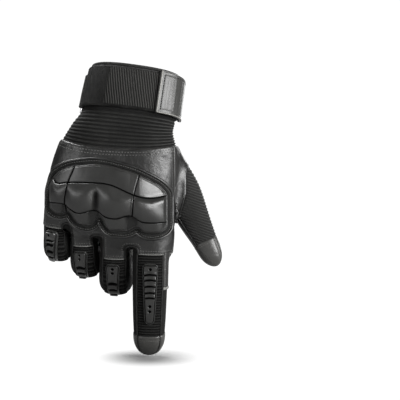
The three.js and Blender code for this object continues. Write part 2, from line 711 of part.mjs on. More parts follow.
function knuckleGuard() {
  const grid = (raised) =>
    guardProfile.map((p) =>
      guardRows.map((row) => {
        const [x, z] = guardPlace(row, p.along);
        const rim = Math.abs(row.x) === 0.5 ? 0.3 : 1;
        const height = rim * (guardThickness * p.rise + knuckleHeight * p.knuckle * row.bulge);
        return vec(x, surfaceY(x, z, true) - (raised ? height : -wall / 2), z);
      }),
    );
  return largest(solid(sheet(grid(true), grid(false))).subtract(seat));
}

// A band around the guard's outline
function guardSurround() {
  const top = guardRows.map((row) => guardPlace(row, 0));
  const peaksAndNotches = guardRows.filter((row) => row.bulge > 0.5 || row.bulge < 0.12);
  const bottom = peaksAndNotches.map((row) => guardPlace(row, 1)).reverse();
  const outline = [...top, ...bottom];
  const n = outline.length;
  const rings = outline.map(([x, z], i) => {
    const [px, pz] = outline[(i + n - 1) % n];
    const [qx, qz] = outline[(i + 1) % n];
    const out = vec(-(qz - pz), 0, qx - px).normalize();
    const corners = [
      [surroundGap, -wall / 2],
      [surroundGap, surroundHeight],
      [surroundGap + surroundWidth, surroundHeight * 0.6],
      [surroundGap + surroundWidth, -wall / 2],
    ];
    return corners.map(([away, height]) => {
      const [cx, cz] = [x + out.x * away, z + out.z * away];
      return vec(cx, surfaceY(cx, cz, true) - height, cz);
    });
  });
  return largest(solid(loft(rings, { loop: true })).subtract(seat));
}

// A patch sewn on the palm
function palmPatch(rows, columns) {
  const grid = (height) =>
    rows.map((row) =>
      Array.from({ length: columns }, (_, c) => {
        const x = palmWidth * (row.left + ((row.right - row.left) * c) / (columns - 1));
        const z = -row.down * handLength;
        return vec(x, surfaceY(x, z, false) + height, z);
      }),
    );
  const patch = solid(sheet(grid(patchThickness), grid(-wall / 2)));
  return largest(patch.subtract(seat).subtract(sleeveSpace));
}

// The ribbed wrist, from the cuff's mouth under the strap to the leather
const knitInside = -wall - ribHeight;
function wristKnit() {
  const ribFrom = strapBottom + seamGap / handLength;
  const ribCount = Math.round(((wristSeam - ribFrom) * handLength) / ribPitch);
  const step = (wristSeam - ribFrom) / ribCount;
  const ribs = [];
  for (let i = 0; i < ribCount; i++) {
    ribs.push([ribFrom + i * step, 0], [ribFrom + (i + 0.5) * step, ribHeight]);
  }
  const spread = (t) => (around) => {
    const share = Math.max(0, (t - ribFrom) / (wristSeam - ribFrom));
    return t + share * (seamAt(-seamGap / 2)(around) - wristSeam);
  };
  const end = seamAt(-seamGap / 2);
  const outer = [
    ...[bindingEnd, ...strapStations].map((t) => handRing(t, 0)),
    ...ribs.map(([t, height]) => handRing(spread(t), height - ribHeight)),
    handRing(end, 0),
  ];
  const innerStations = [bindingEnd, ...strapStations, (strapBottom + wristSeam) / 2, end];
  const inner = innerStations.map((t) => handRing(t, knitInside));
  return loft([...outer, ...inner.reverse()], { loop: true });
}
function cuffBinding() {
  const stations = [mouth, bindingEnd - seamGap / handLength];
  const outer = stations.map((t) => handRing(t, bindingStandoff));
  const inner = stations.map((t) => handRing(t, knitInside));
  return loft([...outer, ...inner.reverse()], { loop: true });
}

// The strap around the cuff, its leather tab and its fastening patch
function wristStrap() {
  const outer = strapStations.map((t) => handRing(t, seatGap + strapThickness));
  const inner = strapStations.map((t) => handRing(t, seatGap));
  return loft([...outer, ...inner.reverse()], { loop: true });
}
// A sheet on the strap, from an angle over a length. lift gives its height above the strap along its length.
const onStrap = 2.2 * seatGap + strapThickness;
function strapPiece(angle, length, columns, thickness, inset, lift = () => 0) {
  const trim = inset / handLength;
  const stations = [strapTop + trim, (strapTop + strapBottom) / 2, strapBottom - trim];
  const shares = Array.from({ length: columns }, (_, c) => c / (columns - 1));
  const place = (t, share, grow) =>
    handPoint(t, angle + (share * length) / cuffRadius, onStrap + lift(share) + grow);
  const grid = (grow) => stations.map((t) => shares.map((share) => place(t, share, grow)));
  return sheet(grid(thickness), grid(0));
}

// The metal ring at the little finger's side of the palm. Its long bars lie under two folds of webbing.
const barAngles = [-1, 1].map((side) => ringAngle + (side * ringWidth) / 2 / cuffRadius);
function strapRing() {
  const grow = onStrap + ringWire / 2;
  const [near, away] = barAngles;
  const over = (ringWire * 0.75) / handLength;
  const [top, bottom] = [strapTop - over, strapBottom + over];
  const corners = [
    [top, near],
    [top - over, ringAngle],
    [top, away],
    [(top + bottom) / 2, away],
    [bottom, away],
    [bottom + over, ringAngle],
    [bottom, near],
    [(top + bottom) / 2, near],
  ];
  const path = corners.map(([t, angle]) => handPoint(t, angle, grow));
  const centre = middle(path);
  const out = handPoint(strapTop, ringAngle, grow + 1).sub(handPoint(strapTop, ringAngle, grow)).normalize();
  const wireSides = 6;
  const rings = path.map((p) => {
    const inwards = centre.clone().sub(p);
    inwards.addScaledVector(out, -inwards.dot(out)).normalize();
    const around = (a) => inwards.clone().multiplyScalar(Math.cos(a)).addScaledVector(out, Math.sin(a));
    return ring(wireSides, (a) => p.clone().addScaledVector(around(a), ringWire / 2));
  });
  return loft(rings, { loop: true });
}
// Webbing folded over one of the ring's bars. side is 1 where its free end lies before the bar.
function ringFold(angle, side) {
  const overWire = ringWire + 2 * seatGap;
  const hump = (share) => overWire * Math.sqrt(Math.max(Math.sin(Math.PI * Math.min(share * 1.15, 1)), 0));
  const lift = (share) => hump(side > 0 ? 1 - share : share);
  const start = angle - foldLength / 2 / cuffRadius;
  return strapPiece(start, foldLength, 9, foldThickness, foldInset, lift);
}

// The hanging loop of webbing folds down from the binding over the palm side of the strap
function hangLoop() {
  const base = onStrap + patchThickness + seatGap;
  const stations = [0, 0.35, 0.7, 1].map((share) => bindingEnd + (share * loopDrop) / handLength);
  const place = (t, u, grow) => handPoint(t, loopAngle + (u * loopWidth) / 2 / cuffDepth, base + grow);
  const grid = (grow) => stations.map((t) => [-1, 0, 1].map((u) => place(t, u, grow)));
  return sheet(grid(loopThickness), grid(0));
}

// The finished group
const glove = new THREE.Group();
const roughness = { metal: 0.3, leather: 0.5, tabLeather: 0.45, guard: 0.5 };
const finishes = Object.fromEntries(
  Object.entries(colours).map(([name, color]) => {
    const metalness = name === "metal" ? 1 : 0;
    return [name, new THREE.MeshStandardMaterial({ color, roughness: roughness[name] ?? 0.85, metalness })];
  }),
);
function add(name, shape, finish) {
  const geometry = shape.isBufferGeometry ? shape : geometryOf(shape);
  const mesh = new THREE.Mesh(geometry, finishes[finish]);
  mesh.name = name;
  glove.add(mesh);
}
add("wrist_knit", wristKnit(), "knit");
add("cuff_binding", cuffBinding(), "webbing");
add("wrist_strap", wristStrap(), "webbing");
add("strap_tab", strapPiece(tabAngle, tabLength, 8, tabThickness, -tabOverhang), "tabLeather");
add("strap_patch", strapPiece(patchAngle, patchLength, 7, patchThickness, patchInset), "webbing");
add("strap_ring", strapRing(), "metal");
add("ring_keeper", ringFold(barAngles[0], -1), "webbing");
add("strap_fold", ringFold(barAngles[1], 1), "webbing");
add("hang_loop", hangLoop(), "webbing");
add("back_leather", backHalf, "leather");
add("palm_leather", palmHalf, "leather");
add("thumb_gusset", gusset, "leather");
add("thumb_sleeve", thumbWall(), "knit");
add("thumb_cap", thumbCapWall(), "leather");
add("thumb_touch_pad", thumbPad(), "touch");
for (const [name, f] of Object.entries(fingers)) {
  add(name + "_sleeve", fingerSleeve(f), "knit");
  add(name + "_cap", fingerCap(f), "leather");
  add(name + "_guard", fingerGuard(f), "guard");
}
add("index_touch_pad", fingerPad(fingers.index), "touch");
add("middle_touch_pad", fingerPad(fingers.middle), "touch");
add("index_side_strip", sideStrip(fingers.index), "leather");
add("knuckle_guard", knuckleGuard(), "guard");
add("guard_surround", guardSurround(), "leather");
add("palm_patch", palmPatch(palmPatchRows, 9), "suede");
add("thumb_patch", palmPatch(thumbPatchRows, 4), "suede");

export default glove;
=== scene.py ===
import json
import math
import bpy
import numpy as np
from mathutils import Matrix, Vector

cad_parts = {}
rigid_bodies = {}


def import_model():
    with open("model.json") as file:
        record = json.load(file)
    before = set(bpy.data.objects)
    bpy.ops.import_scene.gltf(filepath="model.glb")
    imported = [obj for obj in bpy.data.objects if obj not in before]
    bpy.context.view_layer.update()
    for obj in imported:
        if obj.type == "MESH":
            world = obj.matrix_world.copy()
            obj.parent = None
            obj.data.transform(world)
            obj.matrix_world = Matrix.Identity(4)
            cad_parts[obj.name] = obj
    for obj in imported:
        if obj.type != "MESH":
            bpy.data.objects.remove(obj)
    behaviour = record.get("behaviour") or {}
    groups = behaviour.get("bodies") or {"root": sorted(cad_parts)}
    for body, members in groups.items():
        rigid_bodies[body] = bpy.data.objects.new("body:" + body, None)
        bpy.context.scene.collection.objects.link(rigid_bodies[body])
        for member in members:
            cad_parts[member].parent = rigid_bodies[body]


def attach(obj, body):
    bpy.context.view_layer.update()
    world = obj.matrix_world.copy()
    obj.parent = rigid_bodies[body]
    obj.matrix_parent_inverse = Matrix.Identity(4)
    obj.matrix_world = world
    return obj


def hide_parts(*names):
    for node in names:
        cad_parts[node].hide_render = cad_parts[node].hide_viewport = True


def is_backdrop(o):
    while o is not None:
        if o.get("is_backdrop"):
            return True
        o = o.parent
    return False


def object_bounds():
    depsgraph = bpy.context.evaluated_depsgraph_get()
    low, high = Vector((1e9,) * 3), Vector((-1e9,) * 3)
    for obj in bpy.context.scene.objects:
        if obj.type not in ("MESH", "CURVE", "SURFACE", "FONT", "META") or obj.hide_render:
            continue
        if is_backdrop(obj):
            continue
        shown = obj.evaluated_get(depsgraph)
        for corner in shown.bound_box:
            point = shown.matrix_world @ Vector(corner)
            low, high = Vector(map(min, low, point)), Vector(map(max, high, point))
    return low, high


for leftover in list(bpy.data.objects):  # Blender's start-up cube, lamp and camera
    bpy.data.objects.remove(leftover)
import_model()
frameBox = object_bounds()
mm = 0.001

# A right-hand tactical glove as worn: back of the hand to -Y, thumb to +X, cuff up.
# Sizes are in millimetres here and become metres when a mesh is made.
glove = {
    "handLength": 130, "palmWidth": 98, "palmDepth": 40,
    "cuffWidth": 71, "cuffDepth": 52, "cuffTilt": 8, "cuffLean": 13, "strapHeight": 28.8,
    "fingerLength": 109, "fingerWidth": 26.6, "fingerDepth": 24,
    "handPower": 2.5, "fingerPower": 2.6,
    "rootBlend": 5.0, "rootReach": 32, "thumbBlend": 9.0,  # how roundly fingers and thumb grow out of the hand
    "photoScale": 0.78, "photoX": 137, "photoY": 72,  # mm to the pixel, and the pixel of the cuff's mouth
}
handLength, palmWidth, palmDepth = glove["handLength"], glove["palmWidth"], glove["palmDepth"]

# Sections of the hand: down, side, rear, wide, back, palm, tilt, lean
cuffRows = [
    (-0.06, 0.017, 0.05, 0.485, 0.49, 0.49, 1, 1),
    (0.0, 0.0, 0.0, 0.488, 0.49, 0.49, 1, 1),
    (0.13, -0.031, -0.1, 0.498, 0.49, 0.49, 0.95, 0.9),
    (0.26, -0.063, -0.18, 0.512, 0.46, 0.47, 0.85, 0.7),
    (0.33, -0.11, -0.21, 0.555, 0.42, 0.45, 0.6, 0.5),
]
palmRows = [
    (0.44, -0.143, -0.23, 0.462, 0.51, 0.55, 0.35, 0.2),
    (0.55, -0.175, -0.24, 0.484, 0.51, 0.55, 0.3, 0),
    (0.67, -0.196, -0.25, 0.491, 0.5, 0.5, 0.6, 0),
    (0.79, -0.203, -0.26, 0.499, 0.46, 0.46, 1.1, 0),
    (0.9, -0.206, -0.24, 0.509, 0.38, 0.42, 1.5, 0),
    (1.0, -0.214, -0.2, 0.509, 0.27, 0.32, 1.8, 0),
]
fingers = {
    "index": dict(side=0.115, down=0.862, rear=-0.3, long=1, wide=1.03, deep=1, bones=(0.45, 0.275, 0.275),
                  splay=-1.2, turn=0, bends=(4, 4, 4), cut=0.25, guard=(0.31, 0.74), guardTurn=0),
    "middle": dict(side=-0.167, down=0.83, rear=-0.32, long=1.046, wide=0.92, deep=1, bones=(0.49, 0.272, 0.238),
                   splay=-1.5, turn=2, bends=(17, 86, 58), cut=0.3, guard=(0.33, 0.55), guardTurn=0),
    "ring": dict(side=-0.428, down=0.77, rear=-0.3, long=0.99, wide=0.84, deep=0.94, bones=(0.49, 0.27, 0.24),
                 splay=0, turn=3, bends=(22, 84, 58), cut=0.3, guard=(0.33, 0.55), guardTurn=5),
    "little": dict(side=-0.63, down=0.71, rear=-0.28, long=0.853, wide=0.76, deep=0.82, slim=0.36,
                   bones=(0.495, 0.258, 0.247), splay=-2.5, turn=5, bends=(17, 84, 56), cut=0.27,
                   guard=(0.295, 0.545), guardTurn=19),
}
# Half a joint's bend and the leather tip as shares of the finger, and the round tip in half depths
jointShare, capShare, tipReach = 0.082, 0.165, 1.4
fingerTaper = [(0, 0.96), (0.3, 1), (0.5, 0.99), (0.72, 0.94), (0.86, 0.88), (1, 0.84)]  # down, size
thumbRows = [  # down, side, rear, wide, deep
    (0.42, 0.15, 0.03, 0.097, 0.281), (0.5, 0.206, 0.07, 0.129, 0.32), (0.62, 0.294, 0.1, 0.143, 0.33),
    (0.722, 0.367, 0.1, 0.143, 0.315), (0.865, 0.447, 0.06, 0.128, 0.291), (0.995, 0.533, 0.02, 0.101, 0.243),
    (1.072, 0.582, 0, 0.088, 0.21), (1.157, 0.642, -0.03, 0.08, 0.19),
]
thumbCapStart, thumbTip, thumbRound = 1.01, 1.152, 0.085  # shares of handLength
gussetRows = [(-2, 0.297), (0.78, 0.297), (0.86, 0.338), (3, 0.338)]  # down, side
thumbSeamRows = [(-2, 0.6), (0.5, 0.6), (0.545, 0.42), (0.6, 0.395), (0.72, 0.39), (0.84, 0.345),
                 (0.88, 0.322), (0.95, 0.326), (3, 0.326)]
wristSeam, wristSeamDip = 0.415, 0.04
bindingEnd = 2.4 / handLength
strapTop = bindingEnd + 0.3 / handLength
strapHeight = glove["strapHeight"]
strapBottom = strapTop + strapHeight / handLength
cuffRadius = (glove["cuffWidth"] + glove["cuffDepth"]) / 4


def say(stage):
    print("stage:", stage, flush=True)


def smooth(x, low=0.0, high=1.0):  # 0 below low, 1 above high, an S curve between
    s = np.clip((np.asarray(x, float) - low) / (high - low), 0, 1)
    return s * s * (3 - 2 * s)


def smoothMin(a, b, k):  # the lower of two fields, rounded over k where they meet
    h = np.clip(0.5 + 0.5 * (b - a) / k, 0, 1)
    return b * (1 - h) + a * h - k * h * (1 - h)


def smoothMax(a, b, k):  # the higher of two fields, rounded where they meet
    return -smoothMin(-a, -b, k)


def through(rows, t):  # smooth curve through a table's rows at t: first column is the place, the rest come back
    rows = np.asarray(rows, float)
    x, y = rows[:, 0], rows[:, 1:]
    t = np.asarray(t, float)
    i = np.clip(np.searchsorted(x, t, side="right") - 1, 0, len(x) - 2)
    before, after = np.maximum(i - 1, 0), np.minimum(i + 2, len(x) - 1)
    span = (x[i + 1] - x[i])[..., None]
    s = (t - x[i])[..., None] / span
    slopeIn = (y[i + 1] - y[before]) / (x[i + 1] - x[before])[..., None] * span
    slopeOut = (y[after] - y[i]) / (x[after] - x[i])[..., None] * span
    return (y[i] * (2 * s**3 - 3 * s**2 + 1) + slopeIn * (s**3 - 2 * s**2 + s)
            + y[i + 1] * (-2 * s**3 + 3 * s**2) + slopeOut * (s**3 - s**2))


def picked(at, places, values):  # each column of values, read off at the places asked for
    return np.stack([np.interp(at, places, values[:, c]) for c in range(values.shape[1])], -1)


def runLength(path):  # the length gone along a chain of points, at each of them
    return np.concatenate([[0], np.cumsum(np.linalg.norm(np.diff(path, axis=0), axis=1))])


def curve(points, count):  # smooth curve through a list of points, evenly spaced along its length
    p = np.asarray(points, float)
    rows = np.column_stack([np.arange(len(p)), p])
    fine = through(rows, np.linspace(0, len(p) - 1, 40 * len(p)))
    gone = runLength(fine)
    return picked(np.linspace(0, gone[-1], count), gone, fine)


def eased(line, rounds):  # a closed chain, each point drawn halfway to its neighbours in every round
    for _ in range(rounds):
        line = (np.roll(line, 1, 0) + 2 * line + np.roll(line, -1, 0)) / 4
    return line


def closedEven(points, count):  # a closed chain at even steps
    closed = np.concatenate([points, points[:1]])
    gone = runLength(closed)
    return picked(np.linspace(0, gone[-1], count, endpoint=False), gone, closed)


def turn(count):  # a full turn in even steps
    return np.linspace(0, 2 * np.pi, count, endpoint=False)


def crossed(down, across):  # two lists spread over a grid of rows and columns
    return np.meshgrid(down, across, indexing="ij")


def unit(v):  # vectors brought to length 1
    return v / np.maximum(np.linalg.norm(v, axis=-1, keepdims=True), 1e-9)


def noise(p, size, seed):  # soft lumps of that size in millimetres, from a few crossed sine waves
    local = np.random.default_rng(seed)
    total = np.zeros(p.shape[:-1])
    for _ in range(6):
        direction = unit(local.normal(size=3)) * (2 * np.pi / (size * local.uniform(0.6, 1.6)))
        total += np.sin(p @ direction + local.uniform(0, 6.28) + 1.3 * np.sin(p @ np.roll(direction, 1) * 0.6))
    return total / 6


# The hand, its fingers and its thumb as fields: below 0 inside, 0 on the skin
def handTable():  # the sections' shares as millimetres and radians
    rows = []
    for table, width, depth in ((cuffRows, glove["cuffWidth"], glove["cuffDepth"]), (palmRows, palmWidth, palmDepth)):
        for down, side, rear, wide, back, palm, tilt, lean in table:
            rows.append((down, side * palmWidth, rear * palmDepth, wide * width, back * depth, palm * depth,
                         math.radians(tilt * glove["cuffTilt"]), math.radians(lean * glove["cuffLean"])))
    return rows


handStations = np.linspace(-0.06, 1.06, 450)
handSections = through(handTable(), handStations)


def sectionAt(t):  # centre, directions and half sizes of the hand's section at a share of its length
    s = picked(t, handStations, handSections)
    tilt, lean = s[..., 5], s[..., 6]
    up = np.stack([np.sin(tilt) * np.cos(lean), np.sin(lean), np.cos(tilt) * np.cos(lean)], -1)
    across = np.stack([np.cos(tilt), 0 * tilt, -np.sin(tilt)], -1)
    rearward = np.cross(up, across)
    centre = np.stack([s[..., 0], s[..., 1], -t * handLength], -1)
    return centre, up, across, rearward, s[..., 2], s[..., 3], s[..., 4]


def signedPower(value, power):  # a power of the size that keeps the sign
    return np.sign(value) * np.abs(value) ** power


def superellipse(u, v, wide, deep, power, along=0.0):  # field and angle of a rounded section with that half size
    a, b = np.abs(u) / wide, np.abs(v) / deep
    flat = (a**power + b**power + 1e-12) ** (1 / power)
    F = np.sqrt(flat**2 + along**2)
    fu = flat ** (1 - power) * a ** (power - 1) / wide
    fv = flat ** (1 - power) * b ** (power - 1) / deep
    slope = np.sqrt(fu**2 + fv**2)
    angle = np.arctan2(signedPower(v / deep, power / 2), signedPower(u / wide, power / 2))
    return (F - 1) / slope, angle


def onSection(at, across, rearward, wide, deep, around, power, grow, closing=1.0):
    # centre + both half sizes along their axes, by the rounded cosine and sine
    c = signedPower(np.cos(around), 2 / power) * closing
    s = signedPower(np.sin(around), 2 / power) * closing
    return at + across * ((wide + grow) * c)[..., None] + rearward * ((deep + grow) * s)[..., None]


def closingIn(share, tip, end):  # a section's size from the start of a round tip, 1, to its end, 0
    return np.sqrt(np.clip(1 - (np.maximum(share - tip, 0) / (end - tip)) ** 2, 0, 1))


def handPoint(t, around, grow=0.0):  # around is 0 at the thumb side, a quarter turn at the palm
    t, around = np.broadcast_arrays(np.asarray(t, float), np.asarray(around, float))
    centre, _up, across, rearward, wide, back, palm = sectionAt(t)
    deep = np.where(np.sin(around) < 0, back, palm)
    return onSection(centre, across, rearward, wide, deep, around, glove["handPower"], grow)


def handCoordinates(p):  # share of the hand's length, angle around it and height above its skin
    t = -p[..., 2] / handLength
    for _ in range(5):
        t = np.clip(t, -0.06, 1.06)
        centre, up, *_rest = sectionAt(t)
        t = t - ((p - centre) * up).sum(-1) / handLength
    beyond = t
    t = np.clip(t, -0.06, 1.0)
    centre, _up, across, rearward, wide, back, palm = sectionAt(t)
    d = p - centre
    u, v = (d * across).sum(-1), (d * rearward).sum(-1)
    f, around = superellipse(u, v, wide, np.where(v < 0, back, palm), glove["handPower"])
    return beyond, around, f


def handField(p):  # the hand's height above the skin, ended at the knuckles
    t, _around, f = handCoordinates(p)
    return smoothMax(f, (t - 1.0) * handLength, 5.0)


def fingerPath(f):  # centre line, its directions, and the share of the finger's length
    splay, turn = math.radians(f["splay"]), math.radians(f["turn"])
    down = np.array([math.sin(splay), 0, -math.cos(splay)])
    curl = np.array([math.sin(turn), math.cos(turn), 0])
    curl = unit(curl - down * (curl @ down))
    total = f["long"] * glove["fingerLength"]
    bend = [f["bends"][0], f["bends"][0] + f["bends"][1], sum(f["bends"])]
    first, second = f["bones"][0], f["bones"][0] + f["bones"][1]
    share = np.linspace(-0.12, 1.2, 265)
    turned = (bend[0] + (bend[1] - bend[0]) * np.clip((share - first + jointShare) / (2 * jointShare), 0, 1)
              + (bend[2] - bend[1]) * np.clip((share - second + jointShare) / (2 * jointShare), 0, 1))
    a = np.radians(turned)[:, None]
    ahead = np.cos(a) * down + np.sin(a) * curl
    back = np.sin(a) * down - np.cos(a) * curl
    step = (share[1] - share[0]) * total
    places = np.cumsum(ahead * step, axis=0)
    start = np.array([f["side"] * palmWidth, f["rear"] * palmDepth, -f["down"] * handLength])
    places += start - picked(0, share, places)
    size = np.interp(share, *np.array(fingerTaper).T) * (1 - f.get("slim", 0) * (1 - smooth(share, -0.05, 0.32)))
    f.update(share=share, places=places, ahead=ahead, backward=back, across=np.cross(down, curl),
             length=total, wideAt=size * f["wide"] * glove["fingerWidth"] / 2,
             deepAt=size * f["deep"] * glove["fingerDepth"] / 2)


for finger in fingers.values():
    fingerPath(finger)


def onPath(f, share):  # place, way ahead and way to the back at a share of the finger's length
    at, ahead, back = (picked(share, f["share"], f[key]) for key in ("places", "ahead", "backward"))
    return at, unit(ahead), unit(back)


def fingerSize(f, share):  # half width, half depth and the share where the round tip begins
    wide, deep = (np.interp(share, f["share"], f[key]) for key in ("wideAt", "deepAt"))
    return wide, deep, 1 - tipReach * deep / f["length"]


def fingerCoordinates(f, p):  # share of the finger's length, angle, sideways place, height above its skin
    flat = p.reshape(-1, 3)
    nearest = np.empty(len(flat), int)
    for i in range(0, len(flat), 20000):
        d = ((flat[i:i + 20000, None, :] - f["places"][None, ::3]) ** 2).sum(-1)
        nearest[i:i + 20000] = d.argmin(1) * 3
    share = f["share"][nearest].reshape(p.shape[:-1])
    for _ in range(3):
        at, ahead, back = onPath(f, share)
        share = np.clip(share + ((p - at) * ahead).sum(-1) / f["length"], -0.12, 1.2)
    at, _ahead, back = onPath(f, share)
    d = p - at
    u, v = d @ f["across"], -(d * back).sum(-1)
    wide, deep, tip = fingerSize(f, share)
    ending = np.maximum(share - tip, 0) / (1 - tip) + np.maximum(-share, 0) * f["length"] / deep
    field, angle = superellipse(u, v, wide, deep, glove["fingerPower"], ending)
    return share, angle, u, field


def fingerPoint(f, share, around, grow=0.0):  # around is a quarter turn at the palm, and closes round at the tip
    share, around = np.broadcast_arrays(np.asarray(share, float), np.asarray(around, float))
    at, _ahead, back = onPath(f, share)
    wide, deep, tip = fingerSize(f, share)
    return onSection(at, f["across"], -back, wide, deep, around, glove["fingerPower"], grow, closingIn(share, tip, 1))


thumbStations = np.linspace(0.36, 1.25, 300)
thumbSections = through(thumbRows, thumbStations)
thumbPlaces = np.column_stack([thumbSections[:, 0] * palmWidth, thumbSections[:, 1] * palmDepth,
                               -thumbStations * handLength])
thumbAhead = unit(np.gradient(thumbPlaces, axis=0))
thumbRear = unit(np.array([0, 1, 0]) - thumbAhead * thumbAhead[:, 1:2])
thumbAcross = -np.cross(thumbAhead, thumbRear)


def thumbFrame(t):  # centre, directions and half sizes of the thumb's section at a share of handLength
    pick = lambda values: picked(t, thumbStations, values)
    wide = np.interp(t, thumbStations, thumbSections[:, 2]) * palmWidth
    deep = np.interp(t, thumbStations, thumbSections[:, 3]) * palmDepth
    return pick(thumbPlaces), pick(thumbAhead), pick(thumbAcross), pick(thumbRear), wide, deep


def thumbCoordinates(p):  # share of handLength, angle around the thumb and height above its skin
    t = -p[..., 2] / handLength
    for _ in range(6):
        t = np.clip(t, 0.36, 1.25)
        at, ahead, *_rest = thumbFrame(t)
        t = t + ((p - at) * ahead).sum(-1) / (handLength * 1.1)
    t = np.clip(t, 0.36, 1.25)
    at, _ahead, across, rear, wide, deep = thumbFrame(t)
    d = p - at
    tip = thumbTip - thumbRound
    ending = np.maximum(t - tip, 0) / (thumbTip - tip)
    f, angle = superellipse((d * across).sum(-1), (d * rear).sum(-1), wide, deep, glove["fingerPower"], ending)
    return t, angle, f


def thumbPoint(t, around, grow=0.0):  # around is 0 towards the index finger, a quarter turn at the palm
    t, around = np.broadcast_arrays(np.asarray(t, float), np.asarray(around, float))
    at, _ahead, across, rear, wide, deep = thumbFrame(t)
    closing = closingIn(t, thumbTip - thumbRound, thumbTip)
    return onSection(at, across, rear, wide, deep, around, glove["fingerPower"], grow, closing)


def skinField(p, only=None):  # the hand blended with each finger and the thumb in turn
    hand = handField(p)
    total = hand
    for name, f in fingers.items():
        if only in (None, name):
            near = np.abs(p[..., 0] - f["side"] * palmWidth) < glove["rootReach"]
            part = np.full(p.shape[:-1], 50.0)
            part[near] = fingerCoordinates(f, p[near])[3]
            total = np.minimum(total, smoothMin(hand, part, glove["rootBlend"]))
    if only in (None, "thumb"):
        near = p[..., 0] > 0
        part = np.full(p.shape[:-1], 50.0)
        part[near] = thumbCoordinates(p[near])[2]
        total = np.minimum(total, smoothMin(hand, part, glove["thumbBlend"]))
    return total


def gradient(field, p):  # a field's slope, from its values a small step either way
    e = 0.15
    return np.stack([(field(p + e * axis) - field(p - e * axis)) / (2 * e) for axis in np.eye(3)], -1)


def ontoSkin(p, only=None, rounds=3, height=0.0):  # Newton steps along the field's slope
    field = lambda q: skinField(q, only) - height
    for _ in range(rounds):
        g = gradient(field, p)
        p = p - g * (field(p) / np.maximum((g * g).sum(-1), 0.05))[..., None]
    return p


def dropOnBack(x, z, height=0.0, side=-1):  # the skin's point in front of a place in the photo's plane, or behind it
    x, z = np.broadcast_arrays(np.asarray(x, float), np.asarray(z, float))
    far, near = np.full(x.shape, 45.0 * side), np.full(x.shape, -9.0)
    for _ in range(22):
        y = (far + near) / 2
        inside = skinField(np.stack([x, y, z], -1)) < height
        near, far = np.where(inside, y, near), np.where(inside, far, y)
    return np.stack([x, (far + near) / 2, z], -1)


# Shader blocks. Each group puts out heights or masks; the shaders themselves stay in the materials.
class Wires:
    def __init__(self, tree):
        self.tree = tree
        self.add = tree.nodes.new

    def node(self, kind, inputs=(), **settings):
        made = self.add("ShaderNode" + kind)
        for key, value in settings.items():
            setattr(made, key, value)
        for key, value in dict(inputs).items():
            self.put(made.inputs[key], value)
        return made

    def put(self, socket, value):
        if isinstance(value, bpy.types.NodeSocket):
            self.tree.links.new(value, socket)
        else:
            socket.default_value = value

    def calc(self, operation, *values):
        return self.node("Math", dict(enumerate(values)), operation=operation).outputs[0]

    def times(self, a, b):
        return self.calc("MULTIPLY", a, b)

    def plus(self, a, b):
        return self.calc("ADD", a, b)

    def minus(self, a, b):
        return self.calc("SUBTRACT", a, b)

    def group(self, tree, **inputs):  # one of the shader groups below, by the names of its outputs
        made = self.add("ShaderNodeGroup")
        made.node_tree = tree
        for key, value in inputs.items():
            self.put(made.inputs[key], value)
        return made.outputs

    def tone(self, where, scale, dark, light):
        return self.group(colourGroup, Where=where, Scale=scale, Dark=dark, Light=light)

    def rubbed(self, where, width):
        return self.group(wearGroup, Where=where, Edge=self.own("edge"), Width=width)["Mask"]

    def ease(self, value, low, high, start=0.0, end=1.0):  # from start to end as the value goes from low to high
        made = self.node("MapRange", {"Value": value, "From Min": low, "From Max": high, "To Min": start, "To Max": end},
                         interpolation_type="SMOOTHSTEP")
        return made.outputs[0]

    def lumps(self, where, scale, detail=2.0, rough=0.5, warp=0.0):
        values = {"Vector": where, "Scale": scale, "Detail": detail, "Roughness": rough, "Distortion": warp}
        return self.node("TexNoise", values).outputs[0]

    def own(self, name):  # a value that the mesh carries
        return self.node("Attribute", attribute_name=name).outputs["Fac"]

    def blend(self, share, a, b):
        made = self.node("Mix", data_type="RGBA")
        for index, value in ((0, share), (6, a), (7, b)):
            self.put(made.inputs[index], value)
        return made.outputs[2]


def shaderGroup(name, inputs, outputs, build):  # a node group with these inputs, filled by a function
    tree = bpy.data.node_groups.new(name, "ShaderNodeTree")
    for label, value in inputs.items():
        kind = "NodeSocketVector" if value is None else "NodeSocketColor" if isinstance(value, tuple) else "NodeSocketFloat"
        socket = tree.interface.new_socket(label, in_out="INPUT", socket_type=kind)
        if value is not None:
            socket.default_value = value
    for label in outputs:
        kind = "NodeSocketColor" if label == "Color" else "NodeSocketFloat"
        tree.interface.new_socket(label, in_out="OUTPUT", socket_type=kind)
    w = Wires(tree)
    given = w.add("NodeGroupInput")
    result = w.add("NodeGroupOutput")
    for label, socket in build(w, given.outputs).items():
        w.put(result.inputs[label], socket)
    return tree


def leatherGrain(w, i):  # pebbles parted by fine creases, and pores between them
    clouds = w.node("TexNoise", {"Vector": i["Where"], "Scale": 350.0}).outputs[1]
    drift = w.node("VectorMath", {0: clouds}, operation="SCALE")
    drift.inputs["Scale"].default_value = 0.0006
    bent = w.node("VectorMath", {0: i["Where"], 1: drift.outputs[0]}, operation="ADD")
    cells = w.node("TexVoronoi", {"Vector": bent.outputs[0], "Scale": i["Scale"]},
                   feature="DISTANCE_TO_EDGE").outputs[0]
    pebble = w.ease(cells, 0.0, 0.28)
    fine = w.lumps(i["Where"], w.times(i["Scale"], 3.5), 2.0)
    return {"Height": w.plus(w.times(pebble, 0.75), w.times(fine, 0.35)),
            "Crease": w.minus(1.0, pebble)}


def edgeWear(w, i):  # strongest on the edge, gone at the width, broken up by patches
    near = w.ease(i["Edge"], 0.0, i["Width"], 1.0, 0.0)
    patches = w.ease(w.lumps(i["Where"], 90.0, 4.0, 0.6), 0.42, 0.62)
    scuffs = w.ease(w.lumps(i["Where"], 620.0, 3.0, 0.65), 0.46, 0.66)
    broken = w.plus(w.times(patches, 0.7), w.times(scuffs, 0.3))
    return {"Mask": w.times(near, broken)}


